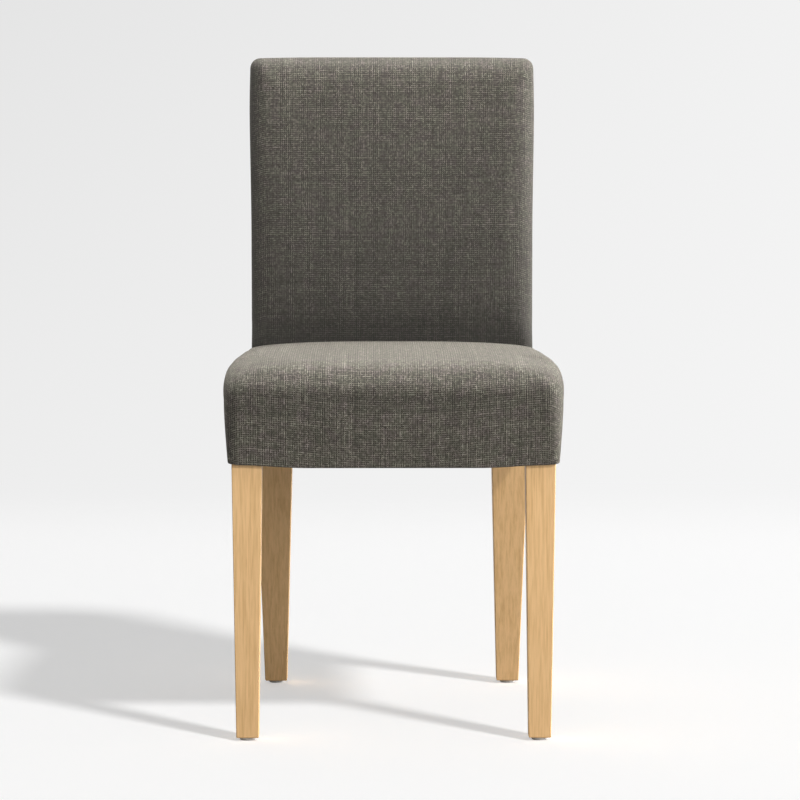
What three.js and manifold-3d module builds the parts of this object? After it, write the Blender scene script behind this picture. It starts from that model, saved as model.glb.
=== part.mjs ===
// Parsons chair with an upholstered seat and back on four tapered oak legs.
// Millimetres. X runs across the chair, Y from front to rear, Z up.
// The origin is on the floor, under the centre of the chair's outer box.
import * as THREE from "three";
import { mergeVertices } from "three/addons/utils/BufferGeometryUtils.js";
import Module from "manifold-3d";

const wasm = await Module();
wasm.setup();

// Overall sizes
const overall_height = 936;
const overall_width = 460;
const overall_depth = 590;

// Gaps and cuts
const clearance = 0.3;
const overrun = 6;

// Seat
const seat_height = 521;
const seat_depth = 445;
const seat_rear_width = 429;
const hem_height = 372;
const seat_crown = 7.3;
const seat_crown_power = 3.3;
const seat_front_round = 46;
const seat_front_power = 2.1;
const seat_side_round = 28;
const seat_side_power = 3.2;
const seat_corner_radius = 26;
const seat_hem_corner = 9;
const seat_corner_softness = 84;
const seat_draw_in = 6;
const seat_bulge_drop = 10;
const cover_thickness = 1.6;

// Back
const back_width = 420;
const back_flare = 4;
const back_flare_height = 290;
const recline = THREE.MathUtils.degToRad(10);
const back_depth_at_seat = 72;
const back_depth_at_top = 64;
const back_depth_at_hem = 82;
const back_front_round = 27;
const back_top_corner = 15;
const back_rear_round = 9;
const back_seam_round = 5;
const back_crown = 4;
const seam_fade = 40;

// Legs
const front_leg_inset = 5;
const front_leg_size = 40.8;
const front_foot_size = 30.6;
const front_leg_lean = 5.3;
const front_leg_set_back = 1.4;
const rear_leg_inset = 4.6;
const rear_leg_width = 55;
const rear_foot_width = 32.8;
const rear_leg_lean = 11.2;
const rear_foot_depth = 33;
const post_depth = 42;
const post_depth_top = 30;
const post_width_top = 44;
const post_top_padding = 14;
const knee_below_seat = 87;
const knee_reach = 75;
const leg_edge = 1;
const foot_edge = 1.4;

// Glides
const glide_height = 4;
const glide_radius = 11;
const glide_edge = 1;
const glide_pin_radius = 1.6;
const glide_pin_length = 18;

// Seat frame
const rail_height = 71;
const rail_thickness = 22;
const rail_lift = 4;
const rail_set_back = 1.4;
const block_reach = 84;
const block_blunt = 12;
const block_height = 42;

// Dowels and screws
const dowel_radius = 4;
const dowel_length = 38;
const cross_dowel_shares = [0.2, 0.64];
const side_dowel_shares = [0.42, 0.86];
const screw_radius = 2;
const screw_head_radius = 4;
const screw_head_height = 2.6;
const screw_bite = 15;
const screw_sink = 10;
const screw_spread = 8;
const screw_place_share = 0.66;

// Back frame
const back_rail_height = 52;
const back_rail_thickness = 20;
const lower_rail_lift = 36;
const tenon_length = 18;
const tenon_height = 34;
const tenon_thickness = 8;
const pad_thickness = 24;
const panel_thickness = 2.5;
const panel_margin = 3;

// Webbing and dust cover
const webbing_width = 56;
const webbing_thickness = 1.4;
const webbing_landing = 16;
const long_webbing_shares = [-0.7, 0, 0.7];
const cross_webbing_shares = [0.2, 0.5, 0.8];
const back_webbing_shares = [0.18, 0.5, 0.82];
const dust_cover_thickness = 0.8;
const dust_cover_margin = 6;

// Places worked out from the sizes
const front_y = -overall_depth / 2;
const rear_y = overall_depth / 2;
const back_face_y = front_y + seat_depth;
const rail_bottom = hem_height + rail_lift;
const rail_top = rail_bottom + rail_height;
const foam_bottom = rail_top + 2 * webbing_thickness + 3 * clearance;
const seat_rim_z = seat_height - seat_crown;
const shoulder_z = seat_rim_z - seat_front_round;
const bulge_z = shoulder_z - seat_bulge_drop;
const hem_half_width = overall_width / 2 - seat_draw_in;
const knee_z = seat_height - knee_below_seat;
const leg_bottom = glide_height + clearance;
const post_top = overall_height - post_top_padding;

// Segment counts
const round_steps = 5;
const corner_steps = 5;
const edge_steps = 5;
const roll_shares = [0.2, 0.4, 0.58, 0.74, 0.87, 0.95, 0.985, 1];
const peg_sides = 12;

// Finishes
function finish(color, roughness, metalness) {
  return new THREE.MeshStandardMaterial({ color, roughness, metalness });
}
const oak = finish(0xd2ac7c, 0.55, 0);
const beech = finish(0xc9a27a, 0.7, 0);
const pine = finish(0xd8bd8c, 0.75, 0);
const cloth = finish(0x575249, 0.95, 0);
const foam = finish(0xe6dfc8, 0.95, 0);
const jute = finish(0x9c8358, 0.95, 0);
const board = finish(0x8a6f4f, 0.85, 0);
const lining = finish(0x1f1f20, 0.95, 0);
const zinc = finish(0xb9bcc0, 0.35, 0.9);
const glide_plastic = finish(0xc3c2be, 0.6, 0);

const chair = new THREE.Group();
const woodwork = new THREE.Group();
const upholstery = new THREE.Group();
chair.add(woodwork, upholstery);

function addPiece(group, name, geometry, material) {
  const mesh = new THREE.Mesh(geometry, material);
  mesh.name = name;
  group.add(mesh);
  return mesh;
}

// Solids

function toSolid(geometry) {
  const bare = geometry.clone();
  bare.deleteAttribute("normal");
  bare.deleteAttribute("uv");
  const merged = mergeVertices(bare);
  return new wasm.Manifold(
    new wasm.Mesh({
      numProp: 3,
      vertProperties: merged.attributes.position.array,
      triVerts: new Uint32Array(merged.index.array),
    }),
  );
}

function toGeometry(solid) {
  const mesh = solid.getMesh();
  const geometry = new THREE.BufferGeometry();
  geometry.setAttribute("position", new THREE.BufferAttribute(mesh.vertProperties, 3));
  geometry.setIndex(new THREE.BufferAttribute(mesh.triVerts, 1));
  geometry.computeVertexNormals();
  return geometry;
}

// Each cutter is taken from the body in turn.
function cut(body, cutters) {
  return cutters.reduce((rest, cutter) => rest.subtract(cutter), body);
}

// Joins rings of points, lowest first, into one closed solid. A ring runs anticlockwise from above.
function ringSolid(rings) {
  const count = rings[0].length;
  const points = rings.flat();
  const faces = [];
  for (let base = 0; base + count < points.length; base += count) {
    for (let i = 0; i < count; i += 1) {
      const a = base + i;
      const b = base + ((i + 1) % count);
      faces.push(a, b, b + count, a, b + count, a + count);
    }
  }
  const bottom = points.push(middleOf(rings[0])) - 1;
  const top = points.push(middleOf(rings.at(-1))) - 1;
  const last = (rings.length - 1) * count;
  for (let i = 0; i < count; i += 1) {
    const next = (i + 1) % count;
    faces.push(bottom, next, i, top, last + i, last + next);
  }
  const geometry = new THREE.BufferGeometry().setFromPoints(points);
  geometry.setIndex(faces);
  return toSolid(geometry);
}

function middleOf(ring) {
  const sum = ring.reduce((total, point) => total.add(point), new THREE.Vector3());
  return sum.divideScalar(ring.length);
}

// A point on the round of a corner, from its start to its end as share goes from 0 to 1.
function roundPoint(start, corner, end, share) {
  const before = (1 - share) ** 2;
  const middle = 2 * share * (1 - share) * Math.SQRT1_2;
  const after = share ** 2;
  const sum = new THREE.Vector2();
  sum.addScaledVector(start, before).addScaledVector(corner, middle).addScaledVector(end, after);
  return sum.divideScalar(before + middle + after);
}

// An outline with rounded corners. Each corner has at, radius, and the pieces of the edge after it.
function outline(corners, steps) {
  const points = [];
  const tangent = (corner, other) => {
    const way = other.at.clone().sub(corner.at);
    return corner.at.clone().addScaledVector(way.normalize(), corner.radius);
  };
  corners.forEach((corner, i) => {
    const before = corners.at(i - 1);
    const after = corners[(i + 1) % corners.length];
    const start = tangent(corner, before);
    const end = tangent(corner, after);
    for (let step = 0; step <= steps; step += 1) {
      points.push(roundPoint(start, corner.at, end, step / steps));
    }
    for (let step = 1; step < corner.pieces; step += 1) {
      points.push(end.clone().lerp(tangent(after, corner), step / corner.pieces));
    }
  });
  return points;
}

function atHeight(points, z) {
  return points.map((point) => new THREE.Vector3(point.x, point.y, z));
}

// A four-cornered ring with slightly eased corners.
function boxRing(x, y, z, ease) {
  const corner = (at_x, at_y) => ({ at: new THREE.Vector2(at_x, at_y), radius: ease, pieces: 1 });
  const corners = [corner(x[0], y[0]), corner(x[1], y[0]), corner(x[1], y[1]), corner(x[0], y[1])];
  return atHeight(outline(corners, 1), z);
}

// A plain block between two corners.
function block(low, high) {
  const size = high.clone().sub(low);
  const geometry = new THREE.BoxGeometry(size.x, size.y, size.z);
  const middle = low.clone().add(high).divideScalar(2);
  geometry.translate(middle.x, middle.y, middle.z);
  return toSolid(geometry);
}

// A round peg from one point to another.
function peg(radius, from, to) {
  const way = to.clone().sub(from);
  const geometry = new THREE.CylinderGeometry(radius, radius, way.length(), peg_sides);
  const up = new THREE.Vector3(0, 1, 0);
  geometry.applyQuaternion(new THREE.Quaternion().setFromUnitVectors(up, way.clone().normalize()));
  const middle = from.clone().add(to).divideScalar(2);
  geometry.translate(middle.x, middle.y, middle.z);
  return toSolid(geometry);
}

function mix(from, to, share) {
  return from + (to - from) * share;
}

function shareBetween(value, from, to) {
  return THREE.MathUtils.clamp((value - from) / (to - from), 0, 1);
}

// Two straight slopes that meet at a knee, joined by a smooth bend of the given reach.
function bend(z, knee, slope_below, slope_above, reach) {
  const height = z - knee.z;
  const straight = knee.y + height * (height < 0 ? slope_below : slope_above);
  const inside = Math.max(reach - Math.abs(height), 0);
  return straight + ((slope_above - slope_below) * inside ** 2) / (4 * reach);
}

function vec(x, y, z) {
  return new THREE.Vector3(x, y, z);
}

// Shape of the legs. Places across the chair are for the right-hand side.

const front_leg_outer = hem_half_width - front_leg_inset;
const rear_leg_outer = (back_width / 2 - back_flare) - rear_leg_inset;
const slant = Math.tan(recline);

function hemShare(z) {
  return shareBetween(z, 0, hem_height);
}

function frontLegX(z) {
  const outer = front_leg_outer - front_leg_lean * (1 - hemShare(z));
  return [outer - mix(front_foot_size, front_leg_size, hemShare(z)), outer];
}

function frontLegY(z) {
  const face = front_y + seat_draw_in + front_leg_inset + front_leg_set_back * (1 - hemShare(z));
  return [face, face + mix(front_foot_size, front_leg_size, hemShare(z))];
}

function rearLegX(z) {
  const outer = rear_leg_outer - rear_leg_lean * (1 - hemShare(z));
  const width = mix(rear_foot_width, rear_leg_width, hemShare(z));
  const slimmer = (rear_leg_width - post_width_top) * shareBetween(z, hem_height, post_top);
  return [outer - width + slimmer, outer];
}

// The front and rear faces of a rear leg: straight below the knee, leaning back above it.
function rearLegY(z) {
  const thinning = (post_depth - post_depth_top) / (post_top - seat_height);
  const knee_face = back_face_y + pad_thickness - knee_below_seat * slant;
  const knee_back = knee_face + post_depth + knee_below_seat * thinning;
  const line = (knee_y, foot_y, slope_above) => {
    const knee = { y: knee_y, z: knee_z };
    const slope_below = (knee_y - foot_y) / (knee_z - leg_bottom - foot_edge);
    return bend(z, knee, slope_below, slope_above, knee_reach);
  };
  const face = line(knee_face, rear_y - rear_foot_depth, slant);
  const back = line(knee_back, rear_y, slant - thinning);
  return [face, back];
}

function legSolid(side, leg_x, leg_y, heights, grow) {
  const rings = heights.map((z, i) => {
    const pinch = i === 0 ? foot_edge / 2 : 0;
    const x = leg_x(z).map((at, end) => side * (at + (end ? grow - pinch : pinch - grow)));
    const y = leg_y(z).map((at, end) => at + (end ? grow - pinch : pinch - grow));
    return boxRing(side > 0 ? x : x.reverse(), y, z, leg_edge);
  });
  return ringSolid(rings);
}

function frontLegSolid(side, grow) {
  const heights = [leg_bottom, leg_bottom + foot_edge, hem_height, rail_top];
  return legSolid(side, frontLegX, frontLegY, heights, grow);
}

const bend_shares = [0, 0.25, 0.5, 0.75, 1];
const bend_heights = bend_shares.map((share) => mix(knee_z - knee_reach, knee_z + knee_reach, share));

function rearLegSolid(side, grow) {
  const low = [leg_bottom, leg_bottom + foot_edge, hem_height];
  const heights = [...low, ...bend_heights, post_top].sort((a, b) => a - b);
  return legSolid(side, rearLegX, rearLegY, heights, grow);
}

// Seat rails

const front_rail_y = frontLegY(hem_height)[0] + rail_set_back;
const front_rail_inner_y = front_rail_y + rail_thickness;
const rail_middle = (rail_bottom + rail_top) / 2;
const rear_leg_middle_y = middle(rearLegY(rail_middle));
const rear_rail_inner_y = rear_leg_middle_y - rail_thickness / 2;

function middle(pair) {
  return (pair[0] + pair[1]) / 2;
}

// The outer face of the right side rail, which draws in towards the back.
function sideRailX(y) {
  const share = (y - front_rail_y) / (rear_leg_middle_y - front_rail_y);
  return mix(front_leg_outer, rear_leg_outer, share) - rail_set_back;
}

function sideRailInnerX(y) {
  return sideRailX(y) - rail_thickness;
}

function crossRailSolid(y, reach) {
  return block(vec(-reach, y, rail_bottom), vec(reach, y + rail_thickness, rail_top));
}

function prism(points, low, high) {
  const ordered = THREE.ShapeUtils.isClockWise(points) ? [...points].reverse() : points;
  return ringSolid([atHeight(ordered, low), atHeight(ordered, high)]);
}

function sideRailSolid(side) {
  const ends = [middle(frontLegY(rail_middle)), rear_leg_middle_y];
  const [start, stop] = ends;
  const points = [
    new THREE.Vector2(side * sideRailX(start), start),
    new THREE.Vector2(side * sideRailX(stop), stop),
    new THREE.Vector2(side * sideRailInnerX(stop), stop),
    new THREE.Vector2(side * sideRailInnerX(start), start),
  ];
  return prism(points, rail_bottom, rail_top);
}

// A corner block bridges a leg. It starts at the cross rail's inner face and runs along way, 1 or -1.
function cornerBlockSolid(side, rail_face_y, way) {
  const y = rail_face_y + way * clearance;
  const far_y = y + way * block_reach;
  const x = (at_y) => sideRailInnerX(at_y) - clearance;
  const plan = [
    [x(y), y],
    [x(y) - block_reach, y],
    [x(y) - block_reach, y + way * block_blunt],
    [x(far_y) - block_blunt, far_y],
    [x(far_y), far_y],
  ];
  const points = plan.map(([at_x, at_y]) => new THREE.Vector2(side * at_x, at_y));
  return prism(points, rail_middle - block_height / 2, rail_middle + block_height / 2);
}

// Screws of a corner block: one into the cross rail, one into the side rail.
function screwPlaces(side, rail_face_y, way) {
  const along = block_reach * screw_place_share;
  const depth = block_reach + block_blunt - along - screw_sink;
  const cross_x = side * (sideRailInnerX(rail_face_y) - along);
  const side_y = rail_face_y + way * along;
  return [
    { at: vec(cross_x, rail_face_y, rail_middle + screw_spread), out: vec(0, way, 0), depth },
    { at: vec(side * sideRailInnerX(side_y), side_y, rail_middle - screw_spread), out: vec(-side, 0, 0), depth },
  ];
}

function screwGeometry({ at, out, depth }) {
  const profile = [
    [0, -screw_bite],
    [screw_radius, 2 * screw_radius - screw_bite],
    [screw_radius, depth - screw_head_height],
    [screw_head_radius, depth],
    [0, depth],
  ];
  const geometry = new THREE.LatheGeometry(
    profile.map(([radius, height]) => new THREE.Vector2(radius, height)),
    peg_sides,
  );
  geometry.applyQuaternion(new THREE.Quaternion().setFromUnitVectors(vec(0, 1, 0), out));
  geometry.translate(at.x, at.y, at.z);
  return toGeometry(toSolid(geometry));
}

function screwBore({ at, out, depth }) {
  const along = (distance) => at.clone().addScaledVector(out, distance);
  const head_seat = depth - screw_head_height - clearance;
  const shank = peg(screw_radius + clearance, along(-screw_bite - clearance), along(depth));
  const head = peg(screw_head_radius + clearance, along(head_seat), along(block_reach));
  return shank.add(head);
}

// Dowels, each half in a rail and half in a leg.

function dowelPlaces(side) {
  const cross = cross_dowel_shares.flatMap((share) => {
    const z = mix(rail_bottom, rail_top, share);
    const front = vec(side * frontLegX(z)[0], front_rail_y + rail_thickness / 2, z);
    const rear = vec(side * rearLegX(z)[0], rear_leg_middle_y, z);
    return [front, rear].map((at) => ({ at, along: vec(1, 0, 0) }));
  });
  const sides = side_dowel_shares.flatMap((share) => {
    const z = mix(rail_bottom, rail_top, share);
    return [frontLegY(z)[1], rearLegY(z)[0]].map((y) => {
      const x = side * (sideRailX(y) - rail_thickness / 2);
      return { at: vec(x, y, z), along: vec(0, 1, 0) };
    });
  });
  return [...cross, ...sides];
}

function dowelSolid({ at, along }, grow) {
  const half = dowel_length / 2 + grow;
  const from = at.clone().addScaledVector(along, -half);
  const to = at.clone().addScaledVector(along, half);
  return peg(dowel_radius + grow, from, to);
}

// Glides, each with a pin driven up into its leg.

function footCentre(side, leg_x, leg_y) {
  return new THREE.Vector2(side * middle(leg_x(0)), middle(leg_y(0)));
}

function glideGeometry(centre) {
  const profile = [
    [0, 0],
    [glide_radius - glide_edge, 0],
    [glide_radius, glide_edge],
    [glide_radius, glide_height],
    [glide_pin_radius, glide_height],
    [glide_pin_radius, glide_height + glide_pin_length],
    [0, glide_height + glide_pin_length],
  ];
  const geometry = new THREE.LatheGeometry(
    profile.map(([radius, height]) => new THREE.Vector2(radius, height)),
    2 * peg_sides,
  );
  geometry.rotateX(Math.PI / 2);
  geometry.translate(centre.x, centre.y, 0);
  return toGeometry(toSolid(geometry));
}

function glidePinBore(centre) {
  const top = glide_height + glide_pin_length + clearance;
  const radius = glide_pin_radius + clearance;
  return peg(radius, vec(centre.x, centre.y, 0), vec(centre.x, centre.y, top));
}

// Back frame

function backRailSolid(low, high) {
  const z = (low + high) / 2;
  const inner = rearLegX(z)[0];
  const face = (at_z) => middle(rearLegY(at_z)) - back_rail_thickness / 2;
  const ring = (at_z) => {
    const y = [face(at_z), face(at_z) + back_rail_thickness];
    return boxRing([-inner - tenon_length, inner + tenon_length], y, at_z, leg_edge);
  };
  return ringSolid([ring(low), ring(high)]);
}

// The bar that forms a back rail's two tenons, or with grow its mortises.
function tenonSolid(low, high, grow) {
  const z = (low + high) / 2;
  const reach = rearLegX(z)[0] + tenon_length + grow;
  const y = middle(rearLegY(z));
  const half_thickness = tenon_thickness / 2 + grow;
  const half_height = tenon_height / 2 + grow;
  return block(
    vec(-reach, y - half_thickness, z - half_height),
    vec(reach, y + half_thickness, z + half_height),
  );
}

// A sheet that leans with the back, from its half width, its face at each height and its thickness.
function leaningSheet(half_width, faceY, thickness, heights) {
  const ring = (z) => {
    const points = [
      new THREE.Vector2(-half_width, faceY(z)),
      new THREE.Vector2(half_width, faceY(z)),
      new THREE.Vector2(half_width, faceY(z) + thickness),
      new THREE.Vector2(-half_width, faceY(z) + thickness),
    ];
    return atHeight(points, z);
  };
  return ringSolid(heights.map(ring));
}

// Forms of the upholstery. offset moves a surface inwards, so that a lining follows its cover.

// The reclined face of the back, which turns upright where it passes the seat.
function backFaceY(z) {
  const knee = { y: back_face_y - seat_front_round * slant, z: seat_height - seat_front_round };
  return bend(z, knee, 0, slant, seat_front_round / 2);
}

function backDepth(z) {
  if (z < seat_height) {
    return mix(back_depth_at_hem, back_depth_at_seat, shareBetween(z, hem_height, seat_height));
  }
  return mix(back_depth_at_seat, back_depth_at_top, shareBetween(z, seat_height, overall_height));
}

function smooth(share) {
  return share * share * (3 - 2 * share);
}

// The sides are straight to about half way up and flare a little towards the top.
function backHalfWidth(z) {
  const flare_start = overall_height - back_flare_height;
  const share = smooth(shareBetween(z, flare_start, overall_height - back_front_round));
  return back_width / 2 - back_flare * (1 - share);
}

function backRing(z, offset, turn) {
  const top = overall_height - offset;
  const fallen = (round) => {
    const into = Math.max(z - (top - round), 0);
    return round - Math.sqrt(Math.max(round ** 2 - into ** 2, 0));
  };
  const half = backHalfWidth(z) - offset - fallen(back_top_corner);
  const face = backFaceY(z) + offset + fallen(back_front_round);
  const rear = backFaceY(z) + backDepth(z) - offset - fallen(back_rear_round);
  const seam = smooth(shareBetween(z, seat_height - seam_fade, seat_height + seam_fade));
  const front_round = mix(back_seam_round, back_front_round, seam) * turn + back_seam_round * (1 - turn);
  const rear_round = mix(back_seam_round, back_rear_round, turn);
  const corners = [
    { at: new THREE.Vector2(-half, face), radius: front_round, pieces: edge_steps },
    { at: new THREE.Vector2(half, face), radius: front_round, pieces: 1 },
    { at: new THREE.Vector2(half, rear), radius: rear_round, pieces: 1 },
    { at: new THREE.Vector2(-half, rear), radius: rear_round, pieces: 1 },
  ];
  const rise = shareBetween(z, hem_height, overall_height);
  const swell = back_crown * Math.sin(Math.PI * rise) * turn;
  const depth = rear - face;
  return outline(corners, round_steps).map((point) => {
    const across = 1 - (point.x / half) ** 2;
    const forward = shareBetween(point.y, rear, face) > 1 / 2 ? swell * Math.max(across, 0) : 0;
    return vec(point.x, point.y - Math.min(forward, depth), z);
  });
}

function backForm(offset, bottom) {
  const top = overall_height - offset;
  const field_low = seat_height + seam_fade;
  const field_high = overall_height - back_front_round;
  const seat_shares = [-1, -1 / 3, 1 / 3, 1];
  const field_shares = [0.2, 0.4, 0.6, 0.8, 1];
  const heights = [
    bottom,
    mix(hem_height, seat_height, 1 / 2),
    ...seat_shares.map((share) => seat_height + share * seam_fade),
    ...field_shares.map((share) => mix(field_low, field_high, share)),
  ];
  const rings = heights.filter((z) => z >= bottom).map((z) => backRing(z, offset, 1));
  for (let step = 1; step <= round_steps; step += 1) {
    const angle = (step / round_steps) * (Math.PI / 2);
    const z = field_high + (top - field_high) * Math.sin(angle);
    rings.push(backRing(z, offset, Math.cos(angle)));
  }
  return ringSolid(rings);
}

// How far a rolled edge has come in at a height, from its full width to the rim of the top.
function edgeRoll(z, offset, round, power) {
  const share = shareBetween(z, seat_rim_z - round, seat_rim_z - offset);
  return round * (1 - (1 - share ** power) ** (1 / power));
}

// Seat rings are level. The front edge has a long roll, the sides a tighter one.
function seatRing(z, offset) {
  const drawn = seatSideInset(z) + offset;
  const front_roll = edgeRoll(z, offset, seat_front_round, seat_front_power);
  const inset = drawn + edgeRoll(z, offset, seat_side_round, seat_side_power);
  const taper = (overall_width - seat_rear_width) / 2 / seat_depth;
  const front = overall_width / 2 + taper * seat_corner_radius - inset;
  const rear = seat_rear_width / 2 - inset;
  const face = front_y + drawn + front_roll;
  const end = back_face_y + back_seam_round;
  const fullness = shareBetween(z, hem_height, bulge_z);
  const upright = mix(seat_hem_corner, seat_corner_radius, fullness) - offset;
  const radius = upright + seat_corner_softness * (front_roll / seat_front_round);
  const corners = [
    { at: new THREE.Vector2(-front, face), radius, pieces: edge_steps },
    { at: new THREE.Vector2(front, face), radius, pieces: edge_steps },
    { at: new THREE.Vector2(rear, end), radius: back_seam_round, pieces: edge_steps },
    { at: new THREE.Vector2(-rear, end), radius: back_seam_round, pieces: edge_steps },
  ];
  return atHeight(outline(corners, corner_steps), z);
}

// The seat's sides draw in below their fullest height.
function seatSideInset(z) {
  return seat_draw_in * (1 - shareBetween(z, hem_height, bulge_z));
}

function seatForm(offset, bottom) {
  const side_shares = [0, 1 / 2, 1];
  const side_low = Math.max(bottom, hem_height);
  const heights = side_shares.map((share) => mix(side_low, bulge_z, share));
  if (bottom < side_low) heights.unshift(bottom);
  heights.push(shoulder_z);
  roll_shares.forEach((share) => heights.push(mix(shoulder_z, seat_rim_z - offset, share)));
  const rings = heights.map((z) => seatRing(z, offset));
  const rim = rings.pop();
  const centre = middleOf(rim);
  const crown_shares = [1, 0.8, 0.55, 0.25];
  crown_shares.forEach((share) => {
    const inner = rim.map((point) => point.clone().lerp(centre, 1 - share));
    rings.push(inner.map((point) => crowned(point, rim, centre)));
  });
  return ringSolid(rings);
}

// The top swells across the seat, and from the front edge to the middle, but runs on to the back.
function crowned(point, rim, centre) {
  const half_width = Math.max(...rim.map((at) => at.x));
  const half_depth = centre.y - Math.min(...rim.map((at) => at.y));
  const across = 1 - Math.min(Math.abs(point.x) / half_width, 1) ** seat_crown_power;
  const forward = 1 - (Math.max(centre.y - point.y, 0) / half_depth) ** 2;
  return vec(point.x, point.y, point.z + seat_crown * across * forward);
}

// Pieces of wood

const sides = [
  { side: -1, word: "left" },
  { side: 1, word: "right" },
];
const back_rails = [
  { word: "back_lower_rail", low: seat_height + lower_rail_lift },
  { word: "back_top_rail", low: post_top - back_rail_height },
].map((rail) => ({ ...rail, high: rail.low + back_rail_height }));
const rear_rail_face = rear_rail_inner_y;
const block_rows = [
  { word: "front", rail_face_y: front_rail_inner_y, way: 1 },
  { word: "rear", rail_face_y: rear_rail_face, way: -1 },
];

const grown_legs = sides.flatMap(({ side }) => [
  frontLegSolid(side, clearance),
  rearLegSolid(side, clearance),
]);
const dowels = sides.flatMap(({ side, word }) =>
  dowelPlaces(side).map((place, i) => ({ ...place, name: `dowel_${word}_${i + 1}` })),
);
const screws = sides.flatMap(({ side, word }) =>
  block_rows.flatMap(({ word: row, rail_face_y, way }) =>
    screwPlaces(side, rail_face_y, way).map((place, i) => ({
      ...place,
      name: `block_screw_${row}_${word}_${i + 1}`,
    })),
  ),
);
const feet = sides.flatMap(({ side, word }) => [
  { name: `glide_front_${word}`, centre: footCentre(side, frontLegX, frontLegY) },
  { name: `glide_rear_${word}`, centre: footCentre(side, rearLegX, rearLegY) },
]);
const bores = [
  ...dowels.map((dowel) => dowelSolid(dowel, clearance)),
  ...screws.map(screwBore),
  ...feet.map((foot) => glidePinBore(foot.centre)),
];
const mortises = back_rails.map(({ low, high }) => tenonSolid(low, high, clearance));

function addWood(name, solid, material) {
  addPiece(woodwork, name, toGeometry(solid), material);
}

function addFrame() {
  sides.forEach(({ side, word }) => {
    addWood(`front_leg_${word}`, cut(frontLegSolid(side, 0), bores), oak);
    addWood(`rear_leg_${word}`, cut(rearLegSolid(side, 0), [...bores, ...mortises]), oak);
    addWood(`side_rail_${word}`, cut(sideRailSolid(side), [...grown_legs, ...bores]), beech);
    block_rows.forEach(({ word: row, rail_face_y, way }) => {
      const solid = cut(cornerBlockSolid(side, rail_face_y, way), [...grown_legs, ...bores]);
      addWood(`corner_block_${row}_${word}`, solid, pine);
    });
  });
  const front_rail = crossRailSolid(front_rail_y, middle(frontLegX(rail_middle)));
  const rear_rail = crossRailSolid(rear_rail_face, middle(rearLegX(rail_middle)));
  addWood("front_rail", cut(front_rail, [...grown_legs, ...bores]), beech);
  addWood("rear_rail", cut(rear_rail, [...grown_legs, ...bores]), beech);
  back_rails.forEach(({ word, low, high }) => {
    const body = cut(backRailSolid(low, high), grown_legs);
    addWood(word, body.add(tenonSolid(low, high, 0)), beech);
  });
}

function addFasteners() {
  dowels.forEach((dowel) => addWood(dowel.name, dowelSolid(dowel, 0), beech));
  screws.forEach((screw) => addPiece(woodwork, screw.name, screwGeometry(screw), zinc));
  feet.forEach((foot) => addPiece(woodwork, foot.name, glideGeometry(foot.centre), glide_plastic));
}

// Webbing, boards and linings

function addWebbing() {
  const half = webbing_width / 2;
  const lower = rail_top + clearance;
  const upper = lower + webbing_thickness + clearance;
  const start = front_rail_inner_y - webbing_landing;
  const stop = rear_rail_face + webbing_landing;
  long_webbing_shares.forEach((share, i) => {
    const x = share * rearLegX(rail_top)[0];
    const strap = block(vec(x - half, start, lower), vec(x + half, stop, lower + webbing_thickness));
    addPiece(upholstery, `seat_webbing_long_${i + 1}`, toGeometry(strap), jute);
  });
  cross_webbing_shares.forEach((share, i) => {
    const y = mix(front_rail_inner_y, backFaceY(rail_top), share);
    const reach = sideRailInnerX(y) + webbing_landing;
    const high = vec(reach, y + half, upper + webbing_thickness);
    const strap = block(vec(-reach, y - half, upper), high);
    addPiece(upholstery, `seat_webbing_cross_${i + 1}`, toGeometry(strap), jute);
  });
  const face = (z) => rearLegY(z)[0] - clearance - webbing_thickness;
  back_webbing_shares.forEach((share, i) => {
    const z = mix(seat_height, post_top, share);
    const reach = rearLegX(z)[0] + webbing_landing;
    const strap = leaningSheet(reach, face, webbing_thickness, [z - half, z + half]);
    addPiece(upholstery, `back_webbing_${i + 1}`, toGeometry(strap), jute);
  });
}

function addBackPanel() {
  const face = (z) => rearLegY(z)[1] + clearance;
  const half_width = rear_leg_outer - panel_margin;
  const heights = [seat_height, post_top - panel_margin];
  const panel = leaningSheet(half_width, face, panel_thickness, heights);
  addPiece(upholstery, "back_panel", toGeometry(panel), board);
}

function addDustCover() {
  const top = rail_bottom - clearance;
  const start = front_rail_y + dust_cover_margin;
  const stop = rear_rail_face + rail_thickness - dust_cover_margin;
  const x = (y) => sideRailX(y) - dust_cover_margin;
  const plan = [[-x(start), start], [x(start), start], [x(stop), stop], [-x(stop), stop]];
  const points = plan.map(([at_x, at_y]) => new THREE.Vector2(at_x, at_y));
  const sheet = cut(prism(points, top - dust_cover_thickness, top), grown_legs);
  addPiece(upholstery, "dust_cover", toGeometry(sheet), lining);
}

// Foam and covers

const below_hem = hem_height - overrun;
const back_room = backForm(-clearance, below_hem);

// The front wall of the back cover stops above the webbing, where the side rails pass through.
function tuckedFront() {
  const half_width = backHalfWidth(hem_height) - cover_thickness - clearance;
  const stop = mix(backFaceY(hem_height), rearLegY(rail_top)[0], 1 / 2);
  return block(
    vec(-half_width, backFaceY(hem_height) - overrun - back_crown, below_hem - overrun),
    vec(half_width, stop, foam_bottom),
  );
}

// The space of the posts, rails and webbing, which the back foam lies in front of and on top of.
function backFrameRoom() {
  const face = (z) => rearLegY(z)[0] - webbing_thickness - 2 * clearance;
  const width = back_width / 2 + overrun;
  const heights = [foam_bottom - overrun, ...bend_heights, post_top + clearance];
  const above = heights.filter((z) => z >= foam_bottom - overrun).sort((a, b) => a - b);
  return leaningSheet(width, face, overall_depth, above);
}

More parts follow.
